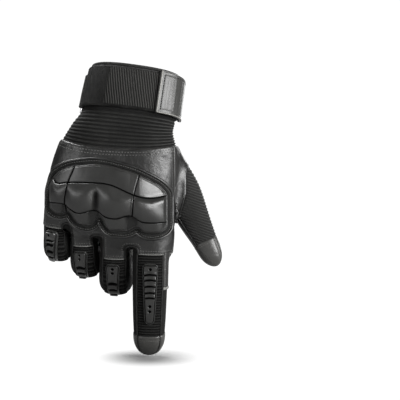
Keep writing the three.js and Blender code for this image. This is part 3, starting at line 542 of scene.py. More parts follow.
def handledColour(w, i):  # the colour drifts between a darker and a lighter one in broad clouds and fine specks
    cloud = w.ease(w.lumps(i["Where"], i["Scale"], 4.0, 0.55, 0.4), 0.3, 0.7)
    speck = w.lumps(i["Where"], w.times(i["Scale"], 19.0), 2.0)
    share = w.plus(w.times(cloud, 0.7), w.times(speck, 0.3))
    return {"Color": w.blend(share, i["Dark"], i["Light"]), "Cloud": share}


def knitLoops(w, i):  # columns of V-shaped loops
    column = w.calc("DIVIDE", i["Across"], i["Pitch"])
    off = w.calc("ABSOLUTE", w.minus(w.times(w.calc("FRACT", column), 2.0), 1.0))
    row = w.plus(w.calc("DIVIDE", i["Along"], w.times(i["Pitch"], 0.8)), w.times(off, 0.55))
    wave = w.plus(w.times(w.calc("COSINE", w.times(row, 2 * math.pi)), 0.5), 0.5)
    between = w.minus(1.0, w.calc("POWER", off, 5.0))
    return {"Height": w.times(wave, between), "Gap": w.minus(1.0, between)}


def plainWeave(w, i):  # warp over weft by turns
    angle = lambda value: w.times(w.calc("DIVIDE", value, i["Pitch"]), math.pi)
    crossing = w.times(w.calc("SINE", angle(i["Across"])), w.calc("SINE", angle(i["Along"])))
    rows = w.calc("ABSOLUTE", w.calc("SINE", angle(i["Along"])))
    columns = w.calc("ABSOLUTE", w.calc("SINE", angle(i["Across"])))
    over = w.calc("GREATER_THAN", crossing, 0.0)
    under = w.times(w.minus(1.0, over), columns)
    return {"Height": w.plus(w.times(over, rows), under)}


def fuzz(w, i):  # short fibres that lie all ways
    hairs = w.ease(w.lumps(i["Where"], i["Scale"], 5.0, 0.75, 1.5), 0.3, 0.7)
    nap = w.ease(w.lumps(i["Where"], w.times(i["Scale"], 0.06), 2.0), 0.35, 0.65)
    return {"Height": hairs, "Nap": nap}


grainGroup = shaderGroup("leatherGrain", {"Where": None, "Scale": 800.0}, ("Height", "Crease"), leatherGrain)
wearGroup = shaderGroup("edgeWear", {"Where": None, "Edge": 5.0, "Width": 1.0}, ("Mask",), edgeWear)
colourGroup = shaderGroup("handledColour", {"Where": None, "Scale": 40.0, "Dark": (0, 0, 0, 1), "Light": (1, 1, 1, 1)},
                          ("Color", "Cloud"), handledColour)
knitGroup = shaderGroup("knitLoops", {"Along": 0.0, "Across": 0.0, "Pitch": 0.9}, ("Height", "Gap"), knitLoops)
weaveGroup = shaderGroup("plainWeave", {"Along": 0.0, "Across": 0.0, "Pitch": 0.7}, ("Height",), plainWeave)
fuzzGroup = shaderGroup("fuzz", {"Where": None, "Scale": 2200.0}, ("Height", "Nap"), fuzz)

materials = {}


def grey(value, warm=0.0):  # a near grey, a little redder and less blue by warm
    return (value * (1 + warm), value, value * (0.95 - warm), 1)


def finish(name, build, **constants):  # a material whose Principled shader takes these constants as they are
    material = bpy.data.materials.new(name)
    material.use_nodes = True
    w = Wires(material.node_tree)
    shader = material.node_tree.nodes["Principled BSDF"]
    for key, value in constants.items():
        shader.inputs[key].default_value = value
    where = w.node("TexCoord").outputs["Object"]
    colour, roughness, height, distance, *shadeMetallic = build(w, where)
    w.put(shader.inputs["Base Color"], colour)
    w.put(shader.inputs["Roughness"], roughness)
    if shadeMetallic:  # a black metal reflects nothing: painted shade that stands for a deep groove
        w.put(shader.inputs["Metallic"], shadeMetallic[0])
    bump = w.node("Bump", {"Height": height, "Distance": distance, "Strength": 1.0})
    w.put(shader.inputs["Normal"], bump.outputs[0])
    materials[name] = material


def leatherFinish(dark, light, worn, gloss, grainScale, depth):  # grained, wrinkled, with painted shade in the grain's creases, and lighter at the edges from rubbing and a painted highlight
    def build(w, where):
        grain = w.group(grainGroup, Where=where, Scale=grainScale)
        tone = w.tone(where, 34.0, grey(dark, 0.02), grey(light, 0.02))
        wear = w.rubbed(where, 1.1)
        # lighter edges: wear and a painted highlight on rolled and folded edges
        colour = w.blend(wear, tone["Color"], grey(worn, 0.02))
        # painted shade in the grain's creases
        colour = w.blend(w.times(grain["Crease"], 0.35), colour, grey(dark * 0.4))
        wrinkle = w.ease(w.calc("ABSOLUTE", w.minus(w.lumps(where, 75.0, 3.0, 0.5, 1.2), 0.5)), 0.0, 0.1)
        rough = w.plus(w.times(tone["Cloud"], 0.07), w.times(grain["Crease"], 0.08))
        height = w.plus(w.times(grain["Height"], depth), w.times(wrinkle, 0.06))
        return colour, w.plus(rough, gloss - 0.04), height, 0.001
    return build


def knitFinish(dark, light, pitch, depth, troughShade=0.85):  # ribs with a painted highlight on top, painted shade between, and painted shade in the gaps of the loops
    def build(w, where):
        loops = w.group(knitGroup, Along=w.own("along"), Across=w.own("across"), Pitch=pitch)
        hairs = w.group(fuzzGroup, Where=where, Scale=2600.0)
        tone = w.tone(where, 55.0, grey(dark), grey(light))
        # painted shade where the loops dip
        colour = w.blend(w.times(w.minus(1.0, loops["Height"]), 0.6), tone["Color"], grey(dark * 0.25))
        # painted shade in the troughs between the ribs
        colour = w.blend(w.ease(w.own("rib"), 0.1, 0.7, troughShade, 0.0), colour, grey(dark * 0.15))
        # painted highlight on the ribs' tops
        colour = w.blend(w.ease(w.own("rib"), 0.75, 1.0, 0.0, 0.5), colour, grey(light * 2.2))
        height = w.plus(w.times(loops["Height"], depth), w.times(hairs["Height"], 0.05))
        return colour, w.plus(w.times(hairs["Height"], 0.12), 0.68), height, 0.001
    return build


def clothFinish(dark, light, pitch, depth, attributes=True, edge=True):  # woven by the mesh's own lengths, or by its place
    def build(w, where):
        if attributes:
            along, across = w.own("along"), w.own("across")
        else:
            parts = w.node("SeparateXYZ", {0: where})
            along = w.times(w.plus(parts.outputs[2], w.times(parts.outputs[1], 0.6)), 1000.0)
            across = w.times(w.minus(parts.outputs[0], w.times(parts.outputs[1], 0.7)), 1000.0)
        weave = w.group(weaveGroup, Along=along, Across=across, Pitch=pitch)["Height"]
        hairs = w.group(fuzzGroup, Where=where, Scale=3000.0)
        tone = w.tone(where, 50.0, grey(dark), grey(light))
        # painted shade where the weave's threads dip under
        colour = w.blend(w.times(w.minus(1.0, weave), 0.55), tone["Color"], grey(dark * 0.3))
        if edge:
            wear = w.rubbed(where, 1.3)
            colour = w.blend(w.times(wear, 0.5), colour, grey(light * 2.2))
        height = w.plus(w.times(weave, depth), w.times(hairs["Height"], 0.04))
        return colour, w.plus(w.times(hairs["Nap"], 0.08), 0.68), height, 0.001
    return build


def strapFinish(w, where):  # flat loop cloth at the little-finger side, ribbed elastic beside the tab
    along, across, zone, rib = (w.own(key) for key in ("along", "across", "zone", "rib"))
    weave = w.group(weaveGroup, Along=along, Across=across, Pitch=0.62)["Height"]
    hairs = w.group(fuzzGroup, Where=where, Scale=2400.0)
    flat = w.tone(where, 28.0, grey(0.003), grey(0.006, 0.01))["Color"]
    # painted shade in the rib valleys and a painted highlight on the rib tops
    elastic = w.blend(w.ease(rib, 0.25, 0.9), grey(0.003), grey(0.032, 0.01))
    # painted shade where the weave's threads dip under
    elastic = w.blend(w.times(w.minus(1.0, weave), 0.45), elastic, grey(0.006))
    colour = w.blend(zone, flat, elastic)
    wear = w.rubbed(where, 1.5)
    colour = w.blend(w.times(wear, 0.5), colour, grey(0.04))
    height = w.plus(w.times(weave, 0.1), w.times(hairs["Height"], 0.06))
    return colour, w.plus(w.times(hairs["Nap"], 0.1), w.calc("MULTIPLY_ADD", zone, 0.1, 0.58)), height, 0.001


guardTones = {"dark": 0.009, "light": 0.015, "worn": 0.03, "gloss": 0.32, "stipple": 3200.0}


def guardFinish(w, where):  # moulded rubber: fine stipple, painted shade in the grooves, edges lighter from rubbing and a painted sheen
    tone = w.tone(where, 26.0, grey(guardTones["dark"]), grey(guardTones["light"]))
    wear = w.rubbed(where, 1.0)
    groove = w.own("groove")
    # lighter edges: wear and a painted sheen
    colour = w.blend(w.times(wear, 0.8), tone["Color"], grey(guardTones["worn"]))
    # painted shade: near black in the grooves, valleys, hollows and moats
    colour = w.blend(groove, colour, grey(0.0015))
    stipple = w.lumps(where, guardTones["stipple"], 2.0, 0.6)
    smear = w.lumps(where, 60.0, 3.0, 0.6, 0.8)
    rough = w.calc("MULTIPLY_ADD", smear, 0.14, w.calc("MULTIPLY_ADD", groove, 0.4, guardTones["gloss"] - 0.07))
    return colour, rough, stipple, 0.00004, groove


def suedeFinish(w, where):  # short nap brushed this way and that
    hairs = w.group(fuzzGroup, Where=where, Scale=1700.0)
    tone = w.tone(where, 45.0, grey(0.012), grey(0.026, 0.02))
    colour = w.blend(w.times(hairs["Nap"], 0.45), tone["Color"], grey(0.04, 0.02))
    wear = w.rubbed(where, 1.6)
    colour = w.blend(w.times(wear, 0.6), colour, grey(0.07, 0.02))
    return colour, w.plus(w.times(hairs["Height"], 0.12), 0.84), hairs["Height"], 0.00016


def touchFinish(w, where):  # conductive cloth printed with ridges in rings
    weave = w.lumps(where, 1900.0, 3.0, 0.7)
    ridge = w.ease(w.own("ridge"), 0.2, 0.7)
    tone = w.tone(where, 90.0, (0.012, 0.19, 0.185, 1), (0.022, 0.27, 0.26, 1))["Color"]
    # painted shade in the valleys between the ridges
    colour = w.blend(ridge, (0.006, 0.075, 0.078, 1), tone)
    height = w.calc("MULTIPLY_ADD", weave, 0.3, ridge)
    return colour, w.calc("MULTIPLY_ADD", weave, 0.2, 0.5), height, 0.00015


def metalFinish(w, where):  # drawn steel wire: fine scratches and handling smears
    stretched = w.node("Mapping", {"Vector": where, "Scale": (2400.0, 2400.0, 180.0)}).outputs[0]
    scratches = w.lumps(stretched, 1.0, 3.0, 0.6)
    smear = w.ease(w.lumps(where, 120.0, 3.0, 0.6), 0.35, 0.7)
    colour = w.blend(smear, (0.62, 0.62, 0.63, 1), (0.5, 0.5, 0.51, 1))
    return colour, w.plus(w.times(smear, 0.14), w.calc("MULTIPLY_ADD", scratches, 0.16, 0.16)), scratches, 0.00003


def threadFinish(dark, light):  # twisted filaments
    def build(w, where):
        twist = w.node("TexWave", {"Vector": where, "Scale": 950.0, "Distortion": 3.0, "Detail": 1.0}, wave_type="BANDS",
                       bands_direction="DIAGONAL").outputs["Fac"]
        tone = w.tone(where, 60.0, grey(dark), grey(light))["Color"]
        # painted shade between the twisted strands
        colour = w.blend(w.times(w.minus(1.0, twist), 0.5), tone, grey(dark * 0.3))
        return colour, w.calc("MULTIPLY_ADD", twist, 0.15, 0.5), twist, 0.00006
    return build


def tabFinish(w, where):  # grey pull leather, smooth, with faint upright streaks where it is bent, painted darker as shade and made rougher and bumped
    grain = w.group(grainGroup, Where=where, Scale=1150.0)
    tone = w.tone(where, 30.0, grey(0.016), grey(0.028))
    across = w.node("CombineXYZ", {0: w.times(w.own("across"), 0.35), 1: w.times(w.own("along"), 0.015)})
    streak = w.ease(w.lumps(across.outputs[0], 1.2, 3.0, 0.55), 0.35, 0.7)
    wear = w.rubbed(where, 1.1)
    # painted light and shade in upright bands: darker along the streaks
    colour = w.blend(streak, tone["Color"], grey(0.016))
    colour = w.blend(w.times(wear, 0.7), colour, grey(0.03))
    colour = w.blend(w.times(grain["Crease"], 0.25), colour, grey(0.04))
    height = w.plus(w.times(grain["Height"], 0.03), w.times(streak, 0.04))
    return colour, w.plus(w.times(streak, 0.08), 0.31), height, 0.001


say("materials")
shine = lambda level, **more: {"Specular IOR Level": level, **more}
# Leather: dark, light, and worn tone that also paints a highlight on the edges, gloss, grain to the metre, grain's
# depth in millimetres
finish("leather", leatherFinish(0.003, 0.006, 0.022, 0.35, 900.0, 0.03), **shine(0.42))
finish("capLeather", leatherFinish(0.018, 0.031, 0.058, 0.36, 1000.0, 0.034), **shine(0.42))
finish("channel", clothFinish(0.005, 0.01, 0.7, 0.12), **shine(0.12))
finish("piping", leatherFinish(0.003, 0.007, 0.02, 0.4, 1300.0, 0.03), **shine(0.22))
finish("tabLeather", tabFinish, **shine(0.28))
finish("tabEdge", leatherFinish(0.1, 0.16, 0.2, 0.36, 1400.0, 0.03), **shine(0.36))
finish("knit", knitFinish(0.008, 0.021, 0.95, 0.16, 0.68), **shine(0.12))
finish("thumbKnit", knitFinish(0.011, 0.02, 0.8, 0.12, 0.5), **shine(0.14))
finish("fingerKnit", knitFinish(0.004, 0.01, 0.8, 0.14), **shine(0.06))
finish("forkCloth", clothFinish(0.004, 0.008, 0.55, 0.1, attributes=False, edge=False), **shine(0.1))
finish("webbing", clothFinish(0.008, 0.017, 0.75, 0.16), **shine(0.14))
finish("strapCloth", strapFinish, **shine(0.1))
finish("loopCloth", suedeFinish, **shine(0.1, **{"Sheen Weight": 0.06, "Sheen Roughness": 0.4}))
finish("suede", suedeFinish, **shine(0.1, **{"Sheen Weight": 0.05, "Sheen Roughness": 0.45}))
finish("guard", guardFinish, **shine(0.42))
finish("touch", touchFinish, **shine(0.3))
finish("metal", metalFinish, Metallic=1.0)
finish("thread", threadFinish(0.06, 0.11), **shine(0.3))
finish("darkThread", threadFinish(0.004, 0.009), **shine(0.2))
finish("greyPiping", threadFinish(0.09, 0.16), **shine(0.3))


# Meshes
def gridFaces(rows, columns, closeRows=False, closeColumns=False):  # each quad joins a point, the next and both below
    r = np.arange(rows if closeRows else rows - 1)[:, None]
    c = np.arange(columns if closeColumns else columns - 1)[None, :]
    a, b = r * columns + c, r * columns + (c + 1) % columns
    d, e = ((r + 1) % rows) * columns + c, ((r + 1) % rows) * columns + (c + 1) % columns
    return np.stack([a, b, e, d], -1).reshape(-1, 4)


def makeMesh(name, points, faces, values=None):  # a piece without edge values is far from any edge
    points, faces = np.asarray(points, float).reshape(-1, 3), np.asarray(faces, int)
    mesh = bpy.data.meshes.new(name)
    mesh.vertices.add(len(points))
    mesh.vertices.foreach_set("co", (points * mm).astype(np.float32).ravel())
    sides = faces.shape[1]
    mesh.loops.add(faces.size)
    mesh.loops.foreach_set("vertex_index", faces.astype(np.int32).ravel())
    mesh.polygons.add(len(faces))
    mesh.polygons.foreach_set("loop_start", np.arange(0, faces.size, sides, dtype=np.int32))
    mesh.polygons.foreach_set("use_smooth", np.ones(len(faces), bool))
    for key, value in {"edge": 5.0, **(values or {})}.items():
        layer = mesh.attributes.new(key, "FLOAT", "POINT")
        layer.data.foreach_set("value", np.broadcast_to(value, len(points)).astype(np.float32).ravel())
    mesh.update(calc_edges=True)
    mesh.validate()
    thing = bpy.data.objects.new(name, mesh)
    bpy.context.scene.collection.objects.link(thing)
    return thing


def dress(thing, material, slot, *nodes):  # finish a piece: its material, body and CAD nodes; the record slot is not used
    thing.data.materials.append(materials[material])
    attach(thing, "root")
    if nodes:
        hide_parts(*nodes)
    return thing


def outwards(points, faces):  # faces turned so that they point out of the closed form
    p = points[faces]
    volume = (p[:, 0] * np.cross(p[:, 1], p[:, 2])).sum()
    if faces.shape[1] == 4:
        volume += (p[:, 0] * np.cross(p[:, 2], p[:, 3])).sum()
    return faces[:, ::-1] if volume < 0 else faces


def thickSheet(outer, inner):  # closed sheet between two grids of points of the same size
    rows, columns = outer.shape[:2]
    n = rows * columns
    points = np.concatenate([outer.reshape(-1, 3), inner.reshape(-1, 3)])
    top = gridFaces(rows, columns)
    ids = np.arange(n).reshape(rows, columns)
    rim = np.concatenate([ids[0, :-1], ids[:-1, -1], ids[-1, :0:-1], ids[:0:-1, 0]])
    following = np.roll(rim, -1)
    side = np.stack([following, rim, rim + n, following + n], -1)
    faces = np.concatenate([top, top[:, ::-1] + n, side])
    return points, outwards(points, faces)


def closedRings(rings):  # a grid of points closed both ways
    points = rings.reshape(-1, 3)
    return points, outwards(points, gridFaces(*rings.shape[:2], closeRows=True, closeColumns=True))


def closedLoft(rings, ends=None):  # rings of points, each end closed by a fan round its middle or a given point
    rows, columns = rings.shape[:2]
    n, last, ring = rows * columns, (rows - 1) * columns, np.arange(columns)
    points = np.concatenate([rings.reshape(-1, 3), *(e[None] for e in ends or (rings[0].mean(0), rings[-1].mean(0)))])
    start = np.stack([np.full(columns, n), (ring + 1) % columns, ring], 1)
    end = np.stack([np.full(columns, n + 1), last + ring, last + (ring + 1) % columns], 1)
    faces = np.concatenate([split(gridFaces(rows, columns, closeColumns=True)), start, end])
    return points, outwards(points, faces)


def twice(value, shape):  # a grid's values for the outer and the inner side of a thick sheet
    return np.concatenate([np.broadcast_to(value, shape).ravel()] * 2)


def sheetPiece(name, outer, inner, *kind, **values):  # a thick sheet, with values given on its grid
    values = {key: twice(value, outer.shape[:2]) for key, value in values.items()}
    dress(makeMesh(name, *thickSheet(outer, inner), values), *kind)


def sleevePiece(name, outer, inner, *kind, **values):  # a sleeve round the wrist, with values given on its grid
    values = {key: np.concatenate([value.ravel(), value[::-1].ravel()]) for key, value in values.items()}
    dress(makeMesh(name, *closedRings(np.concatenate([outer, inner[::-1]])), values), *kind)


def addWall(thing, thick):  # a thickness in millimetres, inwards from the mesh
    wall = thing.modifiers.new("Wall", "SOLIDIFY")
    wall.thickness, wall.offset = thick * mm, -1


def tube(path, radius, sides=8, closed=False, flat=1.0, normals=None):  # round profile carried along a path
    path = np.asarray(path, float)
    ahead = np.roll(path, -1, 0) - np.roll(path, 1, 0) if closed else np.gradient(path, axis=0)
    ahead = unit(ahead)
    if normals is None:
        normals = np.broadcast_to(np.array([0.3, 0.8, 0.52]), path.shape)
    up = unit(normals - ahead * (normals * ahead).sum(-1, keepdims=True))
    over = np.cross(ahead, up)
    a = np.arange(sides) / sides * 2 * np.pi
    radius = np.broadcast_to(radius, len(path))[:, None, None]
    rings = path[:, None] + radius * (flat * np.cos(a)[None, :, None] * up[:, None]
                                      + np.sin(a)[None, :, None] * over[:, None])
    return closedRings(rings) if closed else closedLoft(rings, (path[0], path[-1]))


def split(quads):  # quads as triangles
    return np.concatenate([quads[:, [0, 1, 2]], quads[:, [0, 2, 3]]]) if quads.shape[1] == 4 else quads


def joined(parts):  # several (points, faces) as one
    points, faces, count = [], [], 0
    for p, f in parts:
        points.append(p)
        faces.append(split(f) + count)
        count += len(p)
    return np.concatenate(points), np.concatenate(faces)


def stitches(path, normals, pitch=2.3, length=1.5, thick=0.32, sink=0.1):  # a thread's stitches along a seam
    path, normals = np.asarray(path, float), unit(np.asarray(normals, float))
    gone = runLength(path)
    places = np.arange(pitch / 2, gone[-1], pitch)
    at, out = picked(places, gone, path), unit(picked(places, gone, normals))
    ahead = unit(picked(places + 0.2, gone, path) - picked(places - 0.2, gone, path))
    over = np.cross(ahead, out)
    s = np.array([-0.5, -0.36, 0, 0.36, 0.5])
    fat = np.array([0.15, 0.85, 1, 0.85, 0.15])
    dip = np.array([-1.0, 0.1, 0.5, 0.1, -1.0]) * thick
    a = np.arange(6) / 6 * 2 * np.pi
    points = (at[:, None, None] + ahead[:, None, None] * (s * length)[None, :, None, None]
              + out[:, None, None] * (dip - sink)[None, :, None, None]
              + thick * fat[None, :, None, None] * (np.cos(a)[None, None, :, None] * out[:, None, None]
                                                    + np.sin(a)[None, None, :, None] * over[:, None, None]))
    one = gridFaces(5, 6, closeColumns=True)
    caps = np.array([[0, 1, 2, 3], [0, 3, 4, 5], [27, 26, 25, 24], [29, 28, 27, 24]])
    faces = np.concatenate([one, caps])
    count = len(places)
    flat = points.reshape(count, 30, 3)
    faces = outwards(flat[0], faces)
    return flat.reshape(-1, 3), (faces[None] + 30 * np.arange(count)[:, None, None]).reshape(-1, 4)


# Cutting a skin of triangles into panels
def cutAlong(skin, g):  # triangles are cut where the field g crosses 0, so that each lies on one side
    points, faces, values = skin["points"], skin["faces"], skin["values"]
    g = np.where(np.abs(g) < 0.06, 0.0, g)
    signs = np.sign(g)[faces]
    mixed = (signs.max(1) > 0) & (signs.min(1) < 0)
    f, s = faces[mixed], signs[mixed]
    lonely = (s != 0).all(1)  # one corner is alone on its side; otherwise one lies on the line
    odd = s == -np.sign(s.sum(1))[:, None]
    alone = np.where(lonely, odd.argmax(1), (s == 0).argmax(1))
    f = np.take_along_axis(f, (alone[:, None] + np.arange(3)) % 3, 1)
    three, two = f[lonely], f[~lonely]
    edges = np.concatenate([three[:, [0, 1]], three[:, [0, 2]], two[:, [1, 2]]])
    unique, where = np.unique(np.sort(edges, 1), axis=0, return_inverse=True)
    where = where.ravel()
    a, b = unique[:, 0], unique[:, 1]
    w = g[a] / (g[a] - g[b])
    new = len(points) + where
    n = len(three)
    m01, m02, m12 = new[:n], new[n:2 * n], new[2 * n:]
    made = [faces[~mixed],
            np.stack([three[:, 0], m01, m02], 1), np.stack([m01, three[:, 1], three[:, 2]], 1),
            np.stack([m01, three[:, 2], m02], 1),
            np.stack([two[:, 0], two[:, 1], m12], 1), np.stack([two[:, 0], m12, two[:, 2]], 1)]
    blend = lambda v: np.concatenate([v, v[a] + (v[b] - v[a]) * (w[:, None] if v.ndim > 1 else w)])
    values = {k: blend(v) for k, v in values.items()}
    out = dict(points=blend(points), faces=np.concatenate(made), values=values)
    return out, np.concatenate([g, np.zeros(len(unique))])


def keepFaces(skin, mask):  # some faces and the points they use
    faces = skin["faces"][mask]
    used, where = np.unique(faces, return_inverse=True)
    return dict(points=skin["points"][used], faces=where.reshape(-1, 3),
                values={k: v[used] for k, v in skin["values"].items()})


def cutOff(skin, key, keepAbove=True):  # the part of a skin on one side of one of its fields
    out, g = cutAlong(skin, skin["values"][key])
    out["values"][key] = g
    side = g[out["faces"]].mean(1)
    return keepFaces(out, side > 0 if keepAbove else side < 0)


# The skin of the hand: one surface over palm, finger roots and thumb root, cut into panels later
skinSize = {"cell": 0.8, "quickCell": 1.3, "from": 0.385, "rootPast": 0.05}


def blankHand():  # hand, finger roots and thumb as closed forms, made one surface by remeshing
    around = turn(72)
    parts = [closedLoft(handPoint(np.linspace(skinSize["from"] - 0.03, 0.995, 40)[:, None], around[None]))]
    for f in fingers.values():
        shares = np.linspace(0.0, f["cut"] + skinSize["rootPast"] + 0.06, 16)
        parts.append(closedLoft(fingerPoint(f, shares[:, None], around[None, ::2])))
    parts.append(closedLoft(thumbPoint(np.linspace(0.45, 0.98, 24)[:, None], around[None, ::2])))
    points, faces = joined(parts)
    blank = makeMesh("blank", points, faces)
    remesh = blank.modifiers.new("Remesh", "REMESH")
    remesh.mode = "VOXEL"
    remesh.voxel_size = skinSize["cell"] * mm
    made = blank.evaluated_get(bpy.context.evaluated_depsgraph_get()).to_mesh()
    points = np.empty(len(made.vertices) * 3)
    made.vertices.foreach_get("co", points)
    made.calc_loop_triangles()
    faces = np.empty(len(made.loop_triangles) * 3, np.int32)
    made.loop_triangles.foreach_get("vertices", faces)
    bpy.data.objects.remove(blank)
    return points.reshape(-1, 3) / mm, faces.reshape(-1, 3).astype(int)


def handSkin():  # the blank without its ends, drawn onto the skin's field
    points, faces = blankHand()
    skin = dict(points=points, faces=faces, values={})
    keep = handCoordinates(points)[0] > skinSize["from"]
    for f in fingers.values():
        share, _angle, _u, field = fingerCoordinates(f, points)
        keep &= ~((share > f["cut"] + skinSize["rootPast"]) & (np.abs(field) < 2.5))
    down, _angle, field = thumbCoordinates(points)
    keep &= ~((down > 0.955) & (np.abs(field) < 3))
    skin = keepFaces(skin, keep[faces].all(1))
    skin["points"] = ontoSkin(skin["points"])
    return skin


say("skin of the hand")
skin = handSkin()
say("skin has %d triangles" % len(skin["faces"]))


# Leather and knit panels of the hand
leather = {
    "panelEdge": 0.68,  # a finger's back and front panels, share of its half width
    "archTops": {("index", "middle"): -133.5, ("middle", "ring"): -124.5, ("ring", "little"): -115.5},
    "archRound": 4.0,
}


def seamLine(around):  # the wrist seam's share of the hand's length
    return wristSeam + wristSeamDip * np.maximum(-np.sin(around), 0) ** 2


def markSkin(skin):  # the fields that the panels are cut by: each is 0 along a seam, in millimetres from it
    p, v = skin["points"], skin["values"]
    t, around, _f = handCoordinates(p)
    v["wrist"] = (t - seamLine(around)) * handLength
    centreY = np.interp(-p[:, 2] / handLength, handStations, handSections[:, 1])
    v["side"] = p[:, 1] - centreY
    for key, rows in (("gusset", gussetRows), ("thumb", thumbSeamRows)):
        v[key] = p[:, 0] - np.interp(-p[:, 2] / handLength, *np.array(rows).T) * palmWidth
    beyond, ending, nearest = {}, np.full(len(p), -20.0), np.full(len(p), 1e3)
    for name, f in fingers.items():
        share, _angle, u, field = fingerCoordinates(f, p)
        wide = np.interp(share, f["share"], f["wideAt"])
        beyond[name] = (u, leather["panelEdge"] * wide)
        closer = field < nearest
        ending = np.where(closer, (share - f["cut"]) * f["length"], ending)
        nearest = np.minimum(nearest, field)
    v["ending"] = ending
    v["crotch"] = np.full(len(p), -30.0)
    for (right, left), top in leather["archTops"].items():
        fromRight = -beyond[right][0] - beyond[right][1]
        fromLeft = beyond[left][0] - beyond[left][1]
        gap = smoothMin(smoothMin(fromRight, fromLeft, leather["archRound"]), (top - p[:, 2]) * 0.9, leather["archRound"])
        v["crotch"] = np.maximum(v["crotch"], gap)
    v["nx"], v["ny"], v["nz"] = unit(gradient(skinField, p)).T
    return skin


def normalsOf(part):  # the skin's own normals, which its values carry
    return unit(np.column_stack([part["values"][key] for key in ("nx", "ny", "nz")]))


def panel(part, above=(), below=(), rise=0.5, tuck=1.3, edges=None, creases=0.0):
    # cut out, then raised by a dome over its edges and by soft creases
    for key in above:
        part = cutOff(part, key, True)
    for key in below:
        part = cutOff(part, key, False)
    v, p = part["values"], part["points"]
    edge = np.min([np.abs(v[key]) for key in (edges or (*above, *below))], axis=0)
    height = rise * np.sqrt(smooth(edge, 0, tuck))
    if creases:
        height = height + creases * noise(p, 17, 3) + 0.4 * creases * noise(p, 6, 5)
    part["raised"] = p + normalsOf(part) * height[:, None]
    part["edge"] = edge
    return part


def shell(part, name, material, slot, node, thick=1.2):  # a panel with a thickness
    thing = makeMesh(name, part["raised"], part["faces"], dict(edge=part["edge"]))
    addWall(thing, thick)
    dress(thing, material, slot, node)


def contour(skin, g):  # the line where g is 0 on a skin, as chains of points with normals
    g = np.where(g == 0, 1e-6, g)
    faces = skin["faces"]
    pairs = np.stack([faces[:, [0, 1]], faces[:, [1, 2]], faces[:, [2, 0]]], 1)
    crossing = g[pairs[..., 0]] * g[pairs[..., 1]] < 0
    rows = crossing.sum(1) == 2
    ends = pairs[rows][crossing[rows]].reshape(-1, 2, 2)
    ends = np.sort(ends, -1)
    unique, where = np.unique(ends.reshape(-1, 2), axis=0, return_inverse=True)
    where = where.reshape(-1, 2)
    w = (g[unique[:, 0]] / (g[unique[:, 0]] - g[unique[:, 1]]))[:, None]
    at = lambda values: values[unique[:, 0]] * (1 - w) + values[unique[:, 1]] * w
    v = skin["values"]
    points, normals = at(skin.get("raised", skin["points"])), at(np.column_stack([v["nx"], v["ny"], v["nz"]]))
    neighbours = {}
    for a, b in where.tolist():
        neighbours.setdefault(a, []).append(b)
        neighbours.setdefault(b, []).append(a)
    chains, seen = [], set()
    starts = [n for n, m in neighbours.items() if len(m) == 1] + list(neighbours)
    for start in starts:
        if start in seen:
            continue
        chain, here = [start], start
        seen.add(start)
        while True:
            ahead = [n for n in neighbours[here] if n not in seen]
            if not ahead:
                break
            here = ahead[0]
            seen.add(here)
            chain.append(here)
        if len(chain) > 6:
            chains.append((points[chain], unit(normals[chain])))
    return sorted(chains, key=lambda c: -len(c[0]))


def evened(path, normals, step=0.8, ease=3):  # a chain at even steps, its zigzag eased
    gone = runLength(path)
    at = np.linspace(0, gone[-1], max(int(gone[-1] / step), 4))
    p, n = picked(at, gone, path), picked(at, gone, normals)
    for _ in range(ease):
        p[1:-1] = (p[:-2] + 2 * p[1:-1] + p[2:]) / 4
        n[1:-1] = (n[:-2] + 2 * n[1:-1] + n[2:]) / 4
    return p, unit(n)


def seams(part, g, ease=3):  # the lines where g is 0, at even steps
    return [evened(*chain, ease=ease) for chain in contour(part, g)]


say("panels of the hand")
skin = cutOff(markSkin(skin), "ending", False)
skin = cutOff(skin, "thumb", False)
skin = cutOff(skin, "wrist", True)
backLeather = panel(skin, below=("side", "gusset", "crotch"),
                    edges=("side", "gusset", "crotch", "ending", "wrist"), rise=0.6, creases=0.25)
palmLeather = panel(skin, above=("side",), below=("gusset", "crotch"),
                    edges=("side", "gusset", "crotch", "wrist"), rise=0.5, creases=0.25)
thumbPanel = panel(skin, above=("gusset",), edges=("gusset", "thumb", "wrist"), rise=0.5, creases=0.3)
forks = panel(skin, above=("crotch",), edges=("crotch",), rise=0.0)
forks["raised"] -= 0.35 * normalsOf(forks)
shell(backLeather, "backLeather", "leather", "leather", "back_leather")
shell(palmLeather, "palmLeather", "leather", "leather", "palm_leather")
shell(thumbPanel, "thumbPanel", "leather", "leather", "thumb_gusset")
shell(forks, "fingerForks", "forkCloth", "knit", "palm_leather")
say("panels: %d, %d, %d, %d triangles" % tuple(len(x["faces"]) for x in (backLeather, palmLeather, thumbPanel, forks)))

threads, darkThreads, pipes, greyPipes = [], [], [], []


def sew(part, key, offset, *size, above=-1e3):  # stitches beside a seam, above a height; size is pitch, length, thickness
    for p, n in seams(part, part["values"][key] - offset):
        within = p[:, 2] > above
        if within.sum() > 5:
            threads.append(stitches(p[within], n[within], *size))


for p, n in seams(skin, skin["values"]["crotch"] + 0.2):
    if len(p) > 8:
        pipes.append(tube(p + n * 0.45, 0.75, normals=n))
bindingTop, seamStitchEnd = -96, -98  # heights in millimetres, at the crotch of the thumb
for key, inside in (("gusset", 0.0), ("thumb", 0.5)):  # binding where the thumb parts from the hand
    for p, n in seams(skin, skin["values"][key] + inside, ease=10):
        first = (p[:, 2] >= bindingTop).argmax()
        p, n = np.roll(p, -first, 0), np.roll(n, -first, 0)
        low = p[:, 2] < bindingTop
        if low.sum() > 5:
            pipes.append(tube(p[low] + n[low] * 0.3, 0.65, normals=n[low]))
sew(backLeather, "crotch", -2.2, 1.9, 1.3, 0.2)
sew(backLeather, "wrist", 2.2)
sew(backLeather, "wrist", 4.2)
for p, n in seams(backLeather, backLeather["values"]["ending"] + 0.35):  # the tongues' folded edges, as light grey piping that also paints their highlight
    greyPipes.append(tube(p + n * 0.15, 0.36, normals=n))
